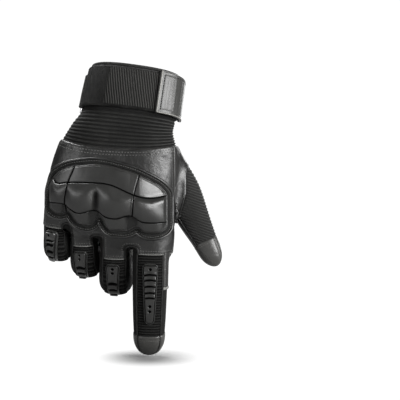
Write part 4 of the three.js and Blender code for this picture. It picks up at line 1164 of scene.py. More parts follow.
sew(backLeather, "ending", -1.4, 1.9, 1.4, 0.26)
sew(backLeather, "ending", -3.0, 1.9, 1.4, 0.22)
sew(palmLeather, "wrist", 2.4)
sew(thumbPanel, "thumb", -1.6, 2.0, 1.3, 0.24, above=seamStitchEnd)
sew(backLeather, "gusset", -1.6, 2.0, 1.3, 0.22, above=seamStitchEnd)


# Fingers: knit back with cross ribs, side strips, leather front
fingerLook = {
    "ribPitch": 2.1, "ribHeight": 0.6, "capOverlap": 0.004, "panelAngle": 0.87, "knitRise": 0.15,
    "frontRise": 0.35, "capRise": 0.45, "pipe": 0.55, "bunch": 1.3, "wall": 1.1,
}


def ribWave(along, pitch):  # 1 on top of each rib, 0 between two
    return (0.5 + 0.5 * np.cos(2 * np.pi * along / pitch)) ** 0.8


def fingerPlace(name, share, around, grow=0.0):  # the finger's point, blended into the hand near its root
    f = fingers[name]
    p = fingerPoint(f, share, around)
    near = share < f["cut"] + 0.16
    normal = unit(fingerPoint(f, share, around, 1.0) - fingerPoint(f, share, around, 0.0) + 1e-9)
    if near.any():
        p[near] = ontoSkin(p[near], name, 2)
    weight = np.broadcast_to(grow, share.shape)[..., None]
    return p + normal * weight, normal


def fingerPanel(name, start, end, low, high, rows, columns, profile):  # a strip of the finger between two angles
    side = np.linspace(0, 1, columns)
    side = side - 0.06 * np.sin(4 * np.pi * side) / (2 * np.pi)
    share, around = crossed(np.linspace(start, end, rows), low + (high - low) * side)
    along = (share - fingers[name]["cut"]) * fingers[name]["length"]
    reach = (high - low) / 2 * np.interp(share, fingers[name]["share"], fingers[name]["wideAt"])
    across = (2 * side - 1)[None] * reach
    grow = profile(along, across, reach)
    if name != "index":  # the knit bunches up where the finger bends
        grow = grow + fingerLook["bunch"] * np.exp(-((share - fingers[name]["bones"][0] - 0.05) / 0.13) ** 2)
    p, normal = fingerPlace(name, share, around, grow)
    values = dict(along=along, across=across, edge=reach - np.abs(across))
    return (*thickSheet(p, p - normal * fingerLook["wall"]), {key: twice(a, share.shape) for key, a in values.items()})


def tipCap(name, node, place, t, around, latest, toTip, ahead, grow, rise):
    # leather over a tip: normals turn to the way ahead there, and a point closes each side
    p, low = place(t, around, 0.0), np.minimum(t, latest)
    normal = unit(place(low, around, 1.0) - place(low, around, 0.0))
    normal = unit(normal * (1 - toTip[..., None]) + ahead * toTip[..., None])
    rings = np.concatenate([(p - normal * fingerLook["wall"])[::-1], p + normal * grow[..., None]])
    middle, end = p[-1].mean(0), ahead[-1, 0]
    mesh = closedLoft(rings, (middle - end * fingerLook["wall"], middle + end * rise))
    dress(makeMesh(name, *mesh), "capLeather", "leather", node)


def fingerPieces(name):  # knit back, side strips, leather front and tip, piping and stitches
    f = fingers[name]
    look, back, front = fingerLook, -np.pi / 2, np.pi / 2
    half = look["panelAngle"] - 0.17  # half the back panel's angle, and the front's
    capAt = 1 - capShare
    start = f["cut"] - 0.012
    rows = int((capAt - start) * f["length"] / 0.33)
    doming = lambda across, reach, wide: np.sqrt(smooth(reach - np.abs(across), 0, wide))
    ribs = lambda along, across, reach: (
        look["knitRise"] * doming(across, reach, 1.5)
        + look["ribHeight"] * ribWave(along, look["ribPitch"]) * smooth(reach - np.abs(across), 0.2, 1.4) - 0.25)
    plain = lambda along, across, reach: 0.12 * doming(across, reach, 1.5) - 0.2
    leathered = lambda along, across, reach: look["frontRise"] * doming(across, reach, 1.4) * smooth(-along, -70, 2) - 0.05
    points, faces, values = fingerPanel(name, start, capAt, back - half, back + half, rows, 30, ribs)
    values["rib"] = ribWave(values["along"], look["ribPitch"])
    dress(makeMesh(name + "KnitBack", points, faces, values), "fingerKnit", "knit", name + "_sleeve")
    between = np.pi - 2 * half
    rows //= 3
    sides = [fingerPanel(name, start, capAt, low, low + between, rows, 18, plain)[:2]
             for low in (back + half, back - half - between)]
    dress(makeMesh(name + "Sides", *joined(sides)), "forkCloth", "knit", name + "_sleeve")
    made = fingerPanel(name, start, capAt, front - half, front + half, rows, 26, leathered)
    dress(makeMesh(name + "Front", *made), "leather", "leather", name + "_sleeve")
    # the leather tip: a back tongue between two piped seams that meet at the tip
    capFrom = capAt - look["capOverlap"]
    share, around = crossed(capFrom + (1.0 - capFrom) * np.sin(np.linspace(0, np.pi / 2, 46)), turn(96))
    fromSeam = np.abs(np.abs(np.cos(around)) - np.cos(np.pi / 2 - half)) * fingerSize(f, share)[0]
    tucked = smooth((share - capAt) * f["length"], -0.4, 1.4)
    grow = look["capRise"] * np.sqrt(tucked) - 0.35 * np.exp(-(fromSeam / 0.8) ** 2)
    tipCap(name + "Cap", name + "_cap", lambda *where: fingerPoint(f, *where), share, around, 0.985,
           smooth(share, 0.93, 1.0), onPath(f, share)[1], grow, look["capRise"])
    for sign in (-1, 1):  # piping along both sides of the back: first, last, steps, rise, thickness
        for first, last, steps, rise, thick in ((f["cut"] - 0.01, capAt, 120, 0.15, 1.0),
                                                (capAt - 0.01, 0.992, 70, 0.35, 0.7)):
            s = np.linspace(first, last, steps)
            a = back + sign * half * (1 - 0.75 * smooth(s, 0.94, 1.0))
            p, n = fingerPlace(name, s, a, rise)
            pipes.append(tube(p, look["pipe"] * thick, normals=n))
    for middle in (back, front):
        a = np.linspace(middle - half, middle + half, 60)
        p, n = fingerPlace(name, np.full(60, capAt + 0.03), a, look["capRise"])
        threads.append(stitches(p, n, 1.7, 1.2, 0.18))


say("fingers")
for name in fingers:
    fingerPieces(name)


# Thumb: diagonal ribs, a leather strip on its inner side, and a leather tip
thumbLook = {
    "ribPitch": 2.1, "ribHeight": 0.5, "slant": 0.36, "capRise": 0.45,
    "strip": (165, 224), "perDegree": 0.2,  # angles round the thumb, and millimetres to the degree
}


def thumbPieces():  # a sleeve cut into knit and strip, and the leather tip
    look = thumbLook
    rows, columns = 230, 150
    t, around = crossed(np.linspace(0.44, thumbCapStart + 0.004, rows), turn(columns))
    points = ontoSkin(thumbPoint(t, around), "thumb", 3).reshape(-1, 3)
    faces = split(gridFaces(rows, columns, closeColumns=True))
    normal = unit(gradient(lambda q: skinField(q, "thumb"), points))
    seam = np.interp(-points[:, 2] / handLength, *np.array(thumbSeamRows).T)
    along = -(points[:, 2] + look["slant"] * points[:, 0])
    degrees = (180 - np.degrees(around.ravel())) % 360  # 180 faces the index finger
    strip = np.minimum(degrees - look["strip"][0], look["strip"][1] - degrees) * look["perDegree"]
    thumb = dict(points=points, faces=outwards(points, faces),
                 values=dict(thumb=points[:, 0] - seam * palmWidth, strip=strip, along=along,
                             nx=normal[:, 0], ny=normal[:, 1], nz=normal[:, 2]))
    thumb = cutOff(thumb, "thumb", True)
    for name, material, slot in (("thumbKnit", "thumbKnit", "knit"), ("thumbStrip", "leather", "leather")):
        part = cutOff(thumb, "strip", name == "thumbStrip")
        v, n = part["values"], normalsOf(part)
        edge = np.minimum(np.abs(v["thumb"]), np.abs(v["strip"]))
        if name == "thumbKnit":
            rib = ribWave(v["along"], look["ribPitch"])
            rise = look["ribHeight"] * rib * smooth(edge, 0.1, 1.4) - 0.3
        else:
            rib, rise = 0 * edge, 0.35 * np.sqrt(smooth(edge, 0, 1.2))
        turned = np.degrees(np.arctan2(n[:, 1], n[:, 0])) * look["perDegree"]
        made = makeMesh(name, part["points"] + n * rise[:, None], part["faces"],
                        dict(along=v["along"], across=turned, edge=edge, rib=rib))
        addWall(made, fingerLook["wall"])
        dress(made, material, slot, "thumb_sleeve")
    for p, n in seams(thumb, thumb["values"]["strip"]):
        pipes.append(tube(p + n * 0.2, 0.5, normals=n))
    capFrom = thumbCapStart - 0.002
    t, around = crossed(capFrom + (thumbTip - capFrom) * np.sin(np.linspace(0, np.pi / 2, 50)), turn(100))
    seamGap = np.abs(np.abs(np.cos(around)) - np.cos(0.75)) * 8
    grow = look["capRise"] * np.sqrt(smooth((t - capFrom) * handLength, 0, 1.5)) - 0.3 * np.exp(-(seamGap / 0.7) ** 2)
    tipCap("thumbCap", "thumb_cap", thumbPoint, t, around, thumbTip - 0.02,
           smooth(t, thumbTip - 0.07, thumbTip), thumbFrame(t)[1], grow, look["capRise"])
    t, a = np.full(120, thumbCapStart + 0.016), np.linspace(0, 2 * np.pi, 120)
    p = thumbPoint(t, a, look["capRise"])
    threads.append(stitches(p, unit(thumbPoint(t, a, 2) - p), 1.7, 1.2, 0.18))


say("thumb")
thumbPieces()


# Ribbed wrist and the binding round the cuff's mouth
wristLook = {"ribs": 10, "lip": 0.022, "ribHeight": 1.0, "wobble": 0.2, "inside": 2.4}


def wristPieces():  # a ribbed sleeve from under the strap to the leather, and the binding
    rows, columns = ((300, 300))
    s, around = crossed(np.linspace(0, 1, rows), turn(columns))
    ribFrom = strapBottom + wristLook["lip"]
    t = np.where(s < 0.3, 0.012 + (strapBottom - 0.012) * s / 0.3, 0)
    share = np.clip((s - 0.3) / 0.7, 0, 1)
    end = seamLine(around) + 1.2 / handLength
    t = np.where(s >= 0.3, strapBottom + (end - strapBottom) * share, t)
    phase = np.clip((t - ribFrom) / (end - ribFrom), 0, 1) * wristLook["ribs"]
    wave = phase + wristLook["wobble"] * np.sin(3 * around + 0.7) * np.sin(np.pi * phase / wristLook["ribs"])
    pulled = 0.75 + 0.25 * np.cos(around)  # the ribs bunch most on the thumb side
    rib = (0.5 - 0.5 * np.cos(2 * np.pi * wave)) ** 0.65 * smooth(phase, 0, 0.35) * pulled
    lip = 0.7 * np.exp(-((t - strapBottom - 0.011) / 0.006) ** 2)
    grow = np.where(t > strapBottom, -wristLook["ribHeight"] + wristLook["ribHeight"] * rib + lip, -0.4)
    sleevePiece("wristKnit", handPoint(t, around, grow), handPoint(t, around, -wristLook["inside"]),
                "knit", "knit", "wrist_knit", along=t * handLength, across=around * cuffRadius, rib=rib, edge=3 + 0 * t)
    a, around = crossed(turn(14), turn(240))
    t = (1.15 + 1.25 * signedPower(np.cos(a), 0.8)) / handLength
    rings = handPoint(t, around, -0.9 + 1.35 * signedPower(np.sin(a), 0.8))
    values = dict(along=a.ravel(), across=(around * cuffRadius).ravel(), edge=2.0)
    dress(makeMesh("cuffBinding", *closedRings(rings), values), "webbing", "webbing", "cuff_binding")


# Strap: webbing with a slanting ribbed stretch, grey leather tab, fastening patch, ring and loop
strapLook = {
    "thick": 2.0, "ribsFrom": -2.1, "ribsTo": -1.03, "ribPitch": 1.9, "ribHeight": 0.36, "slant": 0.3,
    "tabFrom": math.radians(-64), "tabLength": 47, "tabThick": 1.6, "tabOver": 0.8, "tabCorner": 6.5, "tabFolds": 0.05,
    "patchFrom": math.radians(40), "patchLength": 46, "patchThick": 1.2, "patchInset": 1.3,
    "ringAt": math.radians(150), "ringWire": 2.4, "ringWidth": 11, "foldLength": 7.5, "foldThick": 1.2,
    "loopAt": math.radians(92), "loopWidth": 9, "loopDrop": 15, "loopThick": 1.4,
}
onStrap = 0.66 + strapLook["thick"]


def cornerCut(near, corner):  # how far a round corner cuts in at that distance from the end
    return corner - np.sqrt(np.clip(corner**2 - (corner - np.minimum(near, corner)) ** 2, 0, None))


def roundedSheet(width, height, corner, rows, columns):  # places and edge distance of a sheet with round corners
    down = np.linspace(0, 1, rows)[:, None] * height + np.zeros(columns)
    near = np.minimum(down, height - down)
    cut = cornerCut(near, corner)
    across = cut + (width - 2 * cut) * np.linspace(0, 1, columns)[None]
    return down, across, np.minimum(near, np.minimum(across - cut, width - cut - across))


def strapStrip():  # the webbing round the wrist, finely stepped where it is ribbed
    look = strapLook
    rows = 60
    ribbed = np.arange(look["ribsFrom"] - 0.05, look["ribsTo"], 0.0068)
    plain = np.linspace(look["ribsTo"], look["ribsFrom"] - 0.05 + 2 * np.pi, 260, endpoint=False)
    line = np.concatenate([ribbed, plain])
    s, around = crossed(0.5 - 0.5 * np.cos(np.linspace(0, np.pi, rows)), line)
    length = runLength(handPoint((strapTop + strapBottom) / 2, line, look["thick"]))[None] + 0 * around
    down = s * strapHeight
    t = strapTop + down / handLength
    near = np.minimum(down, strapHeight - down)
    phase = (length - look["slant"] * down) / look["ribPitch"]
    ended = smooth(around, look["ribsTo"] - 0.02, look["ribsTo"])
    zone = smooth(around, look["ribsFrom"], look["ribsFrom"] + 0.12) * (1 - ended)
    rib = (0.5 + 0.5 * np.cos(2 * np.pi * phase)) * zone * smooth(near, 0.6, 2.0)
    edge = np.sqrt(smooth(near, 0, 1.1))
    waves = look["ribHeight"] * (rib - zone) + 0.12 * noise(handPoint(t, around), 26, 9)
    grow = 0.3 + look["thick"] - 0.9 + 0.75 * edge + waves
    sleevePiece("strap", handPoint(t, around, grow), handPoint(t, around, 0.3), "strapCloth", "webbing", "wrist_strap",
                along=down, across=length, edge=near, zone=zone, rib=rib)


def pullTab():  # grey leather with a round end, its stitches and light border
    look = strapLook
    over = look["tabOver"]
    height = strapHeight + 2 * over
    down, across, edge = roundedSheet(look["tabLength"], height, look["tabCorner"], 70, 120)
    left = across < look["tabLength"] / 2
    square = np.linspace(0, 1, 120)[None] * look["tabLength"] + 0 * down
    across = np.where(left, square + (across - square) * 0.12, across)
    near = np.minimum(down, height - down)
    edge = np.minimum(edge, np.minimum(near, np.where(left, across, edge)))
    t = strapTop + (down - over) / handLength
    angle = look["tabFrom"] + across / cuffRadius
    folds = look["tabFolds"] * (np.sin(across * 0.95 + 0.6) + 0.6 * np.sin(across * 1.7 + 2)) * smooth(edge, 2, 6)
    tuck = 0.22 * np.exp(-((edge - 2.5) / 0.55) ** 2)
    lift = onStrap + 0.3 * smooth(across, 30, 44)
    grow = lift + look["tabThick"] * (0.45 + 0.55 * np.sqrt(smooth(edge, 0, 0.9))) + folds - tuck
    sheetPiece("strapTab", handPoint(t, angle, grow), handPoint(t, angle, lift), "tabLeather", "tab_leather", "strap_tab",
               edge=edge, across=across, along=down)
    top = lambda a, d, h=0.1: handPoint(strapTop + (d - over) / handLength, look["tabFrom"] + a / cuffRadius,
                                        onStrap + look["tabThick"] + h)
    out = lambda a, d: unit(top(a, d, 2) - top(a, d, 0))
    line = np.linspace(2.6, height - 2.2, 60)
    darkThreads.append(stitches(top(2.9, line, 0), out(2.9, line), 2.0, 1.3, 0.36))
    line = np.linspace(2.6, look["tabLength"] - 4.5, 80)
    darkThreads.append(stitches(top(line, 2.5, -0.1), out(line, 2.5), 1.75, 1.15, 0.22))
    line = np.linspace(0.4, height - 0.4, 60)
    borders = [tube(top(0.7, line, 0.05), 0.8, flat=0.6, normals=out(0.55, line))]
    line = np.linspace(0.4, look["tabLength"] - 6, 90)
    borders.append(tube(top(line, height - 0.5, 0.0), 0.55, flat=0.7, normals=out(line, height - 0.5)))
    dress(makeMesh("tabBorder", *joined(borders)), "tabEdge", "tab_leather", "strap_tab")


def fasteningPatch():  # loop cloth with a grey piping and a row of stitches along both long sides
    look = strapLook
    inset = look["patchInset"]
    down, across, edge = roundedSheet(look["patchLength"], strapHeight - 2 * inset, 1.2, 44, 90)
    t = strapTop + (inset + down) / handLength
    angle = look["patchFrom"] + across / cuffRadius
    fuzz = 0.12 * noise(np.stack([across, down, 0 * down], -1), 2.2, 4)
    grow = onStrap + look["patchThick"] * (0.3 + 0.7 * np.sqrt(smooth(edge, 0, 1.0))) + fuzz * smooth(edge, 0.5, 2)
    sheetPiece("loopPatch", handPoint(t, angle, grow), handPoint(t, angle, onStrap), "loopCloth", "webbing", "strap_patch",
               edge=edge, across=across, along=down)
    a = look["patchFrom"] + np.linspace(0.5, look["patchLength"] - 0.5, 90) / cuffRadius

    def lineAt(d, rise):  # a line along the patch with its normals
        p = handPoint(strapTop + d / handLength, a, onStrap + rise)
        return p, unit(handPoint(strapTop + d / handLength, a, 9) - p)
    for d, inwards in ((inset + 0.2, 1.5), (strapHeight - inset - 0.2, -1.5)):
        p, n = lineAt(d, look["patchThick"] * 0.8)
        greyPipes.append(tube(p, 0.55, normals=n))
        threads.append(stitches(*lineAt(d + inwards, look["patchThick"] + 0.02), 2.2, 1.5, 0.2))


def ringAndFolds():  # a rectangle of wire with round corners, bent to the cuff, and webbing folded over its long sides
    look = strapLook
    grow = onStrap + look["ringWire"] / 2
    half, tall = look["ringWidth"] / 2, strapHeight / 2 + look["ringWire"] * 0.75 + 0.4
    a = turn(160)
    cx, cy = np.cos(a), np.sin(a)
    reach = 1 / np.maximum(np.abs(cx) ** 6 + np.abs(cy) ** 6, 1e-9) ** (1 / 6)
    across, down = half * cx * reach, strapHeight / 2 + tall * cy * reach
    t, angle = strapTop + down / handLength, look["ringAt"] + across / cuffRadius
    path = handPoint(t, angle, grow)
    normals = unit(handPoint(t, angle, grow + 3) - path)
    dress(makeMesh("strapRing", *tube(path, look["ringWire"] / 2, 16, closed=True, normals=normals)),
          "metal", "ring_steel", "strap_ring")
    inset = 1.6
    down, s = crossed(inset + (strapHeight - 2 * inset) * np.linspace(0, 1, 40), np.linspace(0, 1, 46))
    for side, name, node in ((-1, "foldKeeper", "ring_keeper"), (1, "foldFold", "strap_fold")):
        shifted = 1 - s if side > 0 else s
        hump = (look["ringWire"] + 0.25) * np.sqrt(np.maximum(np.sin(np.pi * np.minimum(shifted * 1.15, 1)), 0))
        angle = look["ringAt"] + (side * look["ringWidth"] / 2 + (s - 0.5) * look["foldLength"]) / cuffRadius
        t = strapTop + down / handLength
        near = np.minimum(down - inset, strapHeight - inset - down)
        low = onStrap + hump
        top = low + look["foldThick"] * (0.4 + 0.6 * np.sqrt(smooth(near, 0, 0.8)))
        sheetPiece(name, handPoint(t, angle, top), handPoint(t, angle, low), "webbing", "webbing", node,
                   edge=near, across=s * look["foldLength"], along=down)


def hangingLoop():  # webbing at the cuff's mouth
    look = strapLook
    base = onStrap + look["patchThick"] + 0.3
    s, u = crossed(np.linspace(0, 1, 40), np.linspace(-1, 1, 24))
    t = bindingEnd + s * look["loopDrop"] / handLength
    angle = look["loopAt"] + u * look["loopWidth"] / 2 / glove["cuffDepth"]
    bow = 0.5 * np.sin(np.pi * s)
    edge = (1 - np.abs(u)) * look["loopWidth"] / 2
    top = base + bow + look["loopThick"] * (0.5 + 0.5 * np.sqrt(smooth(edge, 0, 0.8)))
    sheetPiece("hangLoop", handPoint(t, angle, top), handPoint(t, angle, base + bow * 0.6),
               "webbing", "webbing", "hang_loop", edge=edge, across=u * look["loopWidth"] / 2, along=s * look["loopDrop"])


say("cuff and strap")
wristPieces()
strapStrip()
pullTab()
fasteningPatch()
ringAndFolds()
hangingLoop()


# Knuckle guard: a brow, four knuckles and a skirt, parted by thin grooves
guardLook = {
    "width": 90, "height": 54, "side": -0.219, "top": 0.535, "thick": 2.2, "knuckle": 6.6,
    "grooveDepth": 0.9, "grooveWidth": 0.42, "seat": 0.35,
    # pixels of the photograph
    "browGroove": [(45, 178), (54.5, 175), (60.6, 180.6), (71, 179.6), (91, 179.6), (112, 181.6), (136, 192), (152, 195),
                   (171, 192)],
    "skirtGroove": [(40, 199), (48.4, 199), (66.7, 200.6), (71, 204), (81, 209.6), (95, 207), (101, 208), (107.6, 213),
                    (118, 215), (132, 212), (144, 218.4), (163, 219), (175, 218)],
    "littleGroove": [(78, 160), (77, 166), (71, 180.6), (68, 197), (69, 207), (70, 214)],
    "indexGroove": [(143, 166), (140, 175.5), (136, 192), (134, 213)],
    "valley": [(98.4, 190), (97.3, 212)],
    "cells": [(42, 74), (66, 99), (97.5, 141), (131, 172)],
    "flaps": [(44, 67.5), (69.5, 94), (101, 131), (139, 168)],
    "cellRise": [0.72, 0.95, 1.0, 0.95],
    "cellPeaks": [0.5, 0.5, 0.5, 0.3],  # share of the cell's width
    "browTilt": 3.2,
}
guardRows = [  # x, top, bottom: shares of the guard's width and height
    (-0.5, -0.31, -0.64), (-0.46, -0.19, -0.7), (-0.41, -0.11, -0.72), (-0.36, -0.07, -0.7), (-0.33, -0.05, -0.68),
    (-0.27, -0.025, -0.83), (-0.2, -0.01, -0.88), (-0.125, 0, -0.87), (-0.066, -0.005, -0.75), (0.0, -0.02, -0.93),
    (0.095, -0.06, -0.965), (0.18, -0.1, -0.96), (0.25, -0.14, -0.91), (0.31, -0.19, -0.985), (0.38, -0.25, -1.0),
    (0.45, -0.33, -0.98), (0.5, -0.43, -0.92),
]


def toLine(p, line):  # distance in the photo's plane to a chain of straight stretches
    a, b = line[:-1], line[1:]
    d = b - a
    best = np.full(p.shape[:-1], 1e3)
    for start, way in zip(a, d):
        s = np.clip(((p - start) @ way) / (way @ way), 0, 1)
        best = np.minimum(best, np.linalg.norm(p - start - s[..., None] * way, axis=-1))
    return best


def guardPlane(u, v):  # u across from the little finger, v from the top edge to the bottom edge
    row = through(guardRows, np.clip(u - 0.5, -0.5, 0.5))
    x = guardLook["side"] * palmWidth + (u - 0.5) * guardLook["width"]
    z = -guardLook["top"] * handLength + (row[..., 0] + (row[..., 1] - row[..., 0]) * v) * guardLook["height"]
    return np.stack([x, z], -1)


def guardHeight(plane, edge):  # thickness and painted shade: a profile down times one across, less grooves and rim
    look = guardLook
    px = np.stack([plane[..., 0] / glove["photoScale"] + glove["photoX"],
                   glove["photoY"] - plane[..., 1] / glove["photoScale"]], -1)
    brow, skirt = np.array(look["browGroove"], float), np.array(look["skirtGroove"], float)
    yTop = np.interp(px[..., 0], brow[:, 0], brow[:, 1])
    yBottom = np.interp(px[..., 0], skirt[:, 0], skirt[:, 1])
    s = (px[..., 1] - yTop) / np.maximum(yBottom - yTop, 6)
    brow = 0.04 + 0.38 * smooth(s, -1.25, 0.0)
    crest = 0.45 - 0.17 * smooth(px[..., 0], 126, 142)
    up, past = np.clip(s / crest, 0, 1), np.clip((s - crest) / (1 - crest), 0, 1)
    dome = 0.42 + 0.58 * np.sin(np.pi / 2 * up) - 0.34 * past**2.5
    skirtShape = 0.44 - 0.34 * smooth(s, 1.0, 1.9)
    along = np.where(s < 0, brow, np.where(s <= 1, dome, skirtShape))
    lean = (px[..., 1] - 195) * -0.09

    def cells(sides, power, peaks):  # a dome over each share from side to side, highest at its peak
        rows = []
        for (left, right), rise, peak in zip(sides, look["cellRise"], peaks):
            share = np.clip((px[..., 0] - lean - left) / (right - left), 0, 1) ** (math.log(0.5) / math.log(peak))
            rows.append(rise * np.clip(1 - np.abs(2 * share - 1) ** power, 0, 1))
        return np.max(rows, axis=0)

    level = 0.84 - 0.3 * smooth(px[..., 0], 136, 172) - 0.12 * smooth(-px[..., 0], -80, -50)
    domes = level + (cells(look["cells"], 2.4, look["cellPeaks"]) ** 0.8 - level) * smooth(s, 0.0, 0.5)
    flaps = cells(look["flaps"], 5, [0.5] * 4)
    across = np.where(s < 0, level, domes + (flaps - domes) * smooth(s, 0.96, 1.04))
    height = look["thick"] + look["knuckle"] * along * (0.1 + 0.9 * across)
    tilted = np.clip((px[..., 0] - 141) / 31, 0, 1) * (1 - smooth(s, -0.15, 0.18))
    height = height - look["browTilt"] * tilted
    groove = np.zeros(px.shape[:-1])
    for key in ("browGroove", "skirtGroove", "littleGroove", "indexGroove"):
        d = toLine(px, curve(look[key], 40)) * glove["photoScale"]
        groove = np.maximum(groove, np.exp(-(d / look["grooveWidth"]) ** 2))
    d = toLine(px, np.array(look["valley"])) * glove["photoScale"]
    valley = np.exp(-(d / (1.0 + 2.0 * np.clip((px[..., 1] - 190) / 20, 0, 1))) ** 2)
    height = height - look["grooveDepth"] * groove - 1.3 * valley
    hollow = smooth(s, 0.98, 1.1) * (1 - flaps)
    height = height * (1 - 0.45 * hollow) * (0.25 + 0.75 * np.sqrt(smooth(edge, 0.0, 1.9)))
    height = height + 0.3 * np.exp(-((edge - 0.8) / 0.3) ** 2) - 0.35 * np.exp(-((edge - 1.5) / 0.3) ** 2)
    # painted shade in the grooves, the valley, the hollows between the flaps and the moat inside the rim
    paintedShade = [smooth(groove, 0.05, 0.5), 0.35 * valley, 0.4 * hollow, 0.35 * np.exp(-((edge - 1.5) / 0.25) ** 2)]
    return np.maximum(height, 0.4), np.max(paintedShade, axis=0)


def knuckleGuard():  # a thick sheet that stands up from the back of the hand
    rows, columns = ((170, 280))
    v, u = crossed(np.linspace(0, 1, rows), np.linspace(0, 1, columns))
    plane = guardPlane(u, v)
    outline = np.concatenate([plane[0], plane[1:, -1], plane[-1, -2::-1], plane[-2:0:-1, 0]])
    edge = toLine(plane, np.concatenate([outline, outline[:1]])[::3])
    height, groove = guardHeight(plane, edge)
    base = dropOnBack(plane[..., 0], plane[..., 1])
    for _ in range(6):  # the moulding doesn't follow every dip of the leather
        base[1:-1, 1:-1, 1] = (base[:-2, 1:-1, 1] + base[2:, 1:-1, 1] + base[1:-1, :-2, 1] + base[1:-1, 2:, 1]) / 4
    outer = base - np.array([0, 1, 0]) * (guardLook["seat"] + height)[..., None]
    inner = base - np.array([0, 1, 0]) * 0.1
    sheetPiece("knuckleGuard", outer, inner, "guard", "guard_rubber", "knuckle_guard", edge=edge, groove=groove)


def leftEdge(z):  # the skin's outermost place on the little finger's side, at the middle of the hand's depth
    y = np.interp(-z / handLength, handStations, handSections[:, 1])
    out, within = np.full(z.shape, -90.0), np.full(z.shape, -50.0)
    for _ in range(16):
        x = (out + within) / 2
        inside = skinField(np.stack([x, y, z], -1)) < 0
        within, out = np.where(inside, x, within), np.where(inside, out, x)
    return within


def guardSurround():  # a sewn channel and a raised leather band round the guard
    n = 420
    top = guardPlane(np.linspace(0, 1, n), np.zeros(n))
    bottom = guardPlane(np.linspace(1, 0, n), np.ones(n))
    side = lambda u: guardPlane(np.full(20, u), np.linspace(0, 1, 20))
    outline = np.concatenate([top, side(1.0)[1:-1], bottom, side(0.0)[::-1][1:-1]])
    path = eased(closedEven(outline, 520), 6)
    ahead = unit(np.roll(path, -1, 0) - np.roll(path, 1, 0))
    out = np.column_stack([-ahead[:, 1], ahead[:, 0]])
    if ((path - path.mean(0)) * out).sum() < 0:
        out = -out
    bands = (  # name, material, distances out from the guard, heights
        ("guardChannel", "channel", [0.1, 0.5, 1.4, 2.3, 3.1, 3.5], [0.5, 1.0, 1.15, 1.15, 1.0, 0.5]),
        ("guardSurround", "leather", [3.0, 3.1, 3.4, 3.9, 4.4, 4.9, 5.3], [0.5, 1.5, 1.95, 2.1, 1.95, 1.4, 0.3]),
    )
    for name, material, offsets, heights in bands:
        offsets, heights = np.array(offsets), np.array(heights)
        flat = np.stack([eased(path + out * offset, int(4 + offset * 4)) for offset in offsets], 1)
        limit = leftEdge(flat[..., 1]) + 3.5
        beyond = np.maximum(limit - flat[..., 0], 0)  # the rest goes round the side of the hand
        base = dropOnBack(np.maximum(flat[..., 0], limit), flat[..., 1])
        base[..., 1] += beyond
        base = np.where(beyond[..., None] > 0, ontoSkin(base), base)
        normal = unit(gradient(skinField, base))
        top = base + normal * heights[None, :, None]
        rings = np.concatenate([top, base[:, ::-1] - normal[:, ::-1] * 0.3], 1)
        edges = np.concatenate([np.minimum(offsets - offsets[0], offsets[-1] - offsets) + 0.3, np.zeros(len(offsets))])
        along, across = crossed(np.linspace(0, 520, 520), np.tile(offsets, 2))
        values = dict(edge=np.tile(edges, len(rings)), along=along.ravel(), across=across.ravel())
        dress(makeMesh(name, *closedRings(rings), values), material, "leather", "guard_surround")
        if name == "guardChannel":
            p = np.concatenate([top[:, 3], top[:1, 3]])
            n = np.concatenate([normal[:, 3], normal[:1, 3]])
            threads.append(stitches(p, n, 1.9, 1.35, 0.26, sink=0.0))


# Finger guards: rim, curved ribs and small holes, along the back of each finger
fingerGuardLook = {
    "thick": 2.4, "narrow": 0.36, "flange": 1.45, "moat": 1.25, "corner": 4.0, "wrap": 0.03,
    "index": dict(width=13.0, shift=0.5, holes=[4.2, 32.5, 36.5], grooves=[8.2, 12.2, 16.9, 21.7, 25.7]),
    "middle": dict(width=12.0, shift=-1.0, holes=[3.9, 7.3], grooves=[12.4, 15.6, 18.8, 22.0]),
    "ring": dict(width=12.2, shift=-0.8, holes=[3.4, 6.8], grooves=[11.2, 14.2, 17.2, 20.2]),
    "little": dict(width=12.2, shift=1.0, holes=[3.7], grooves=[8.0, 11.0, 14.0, 17.0]),
}


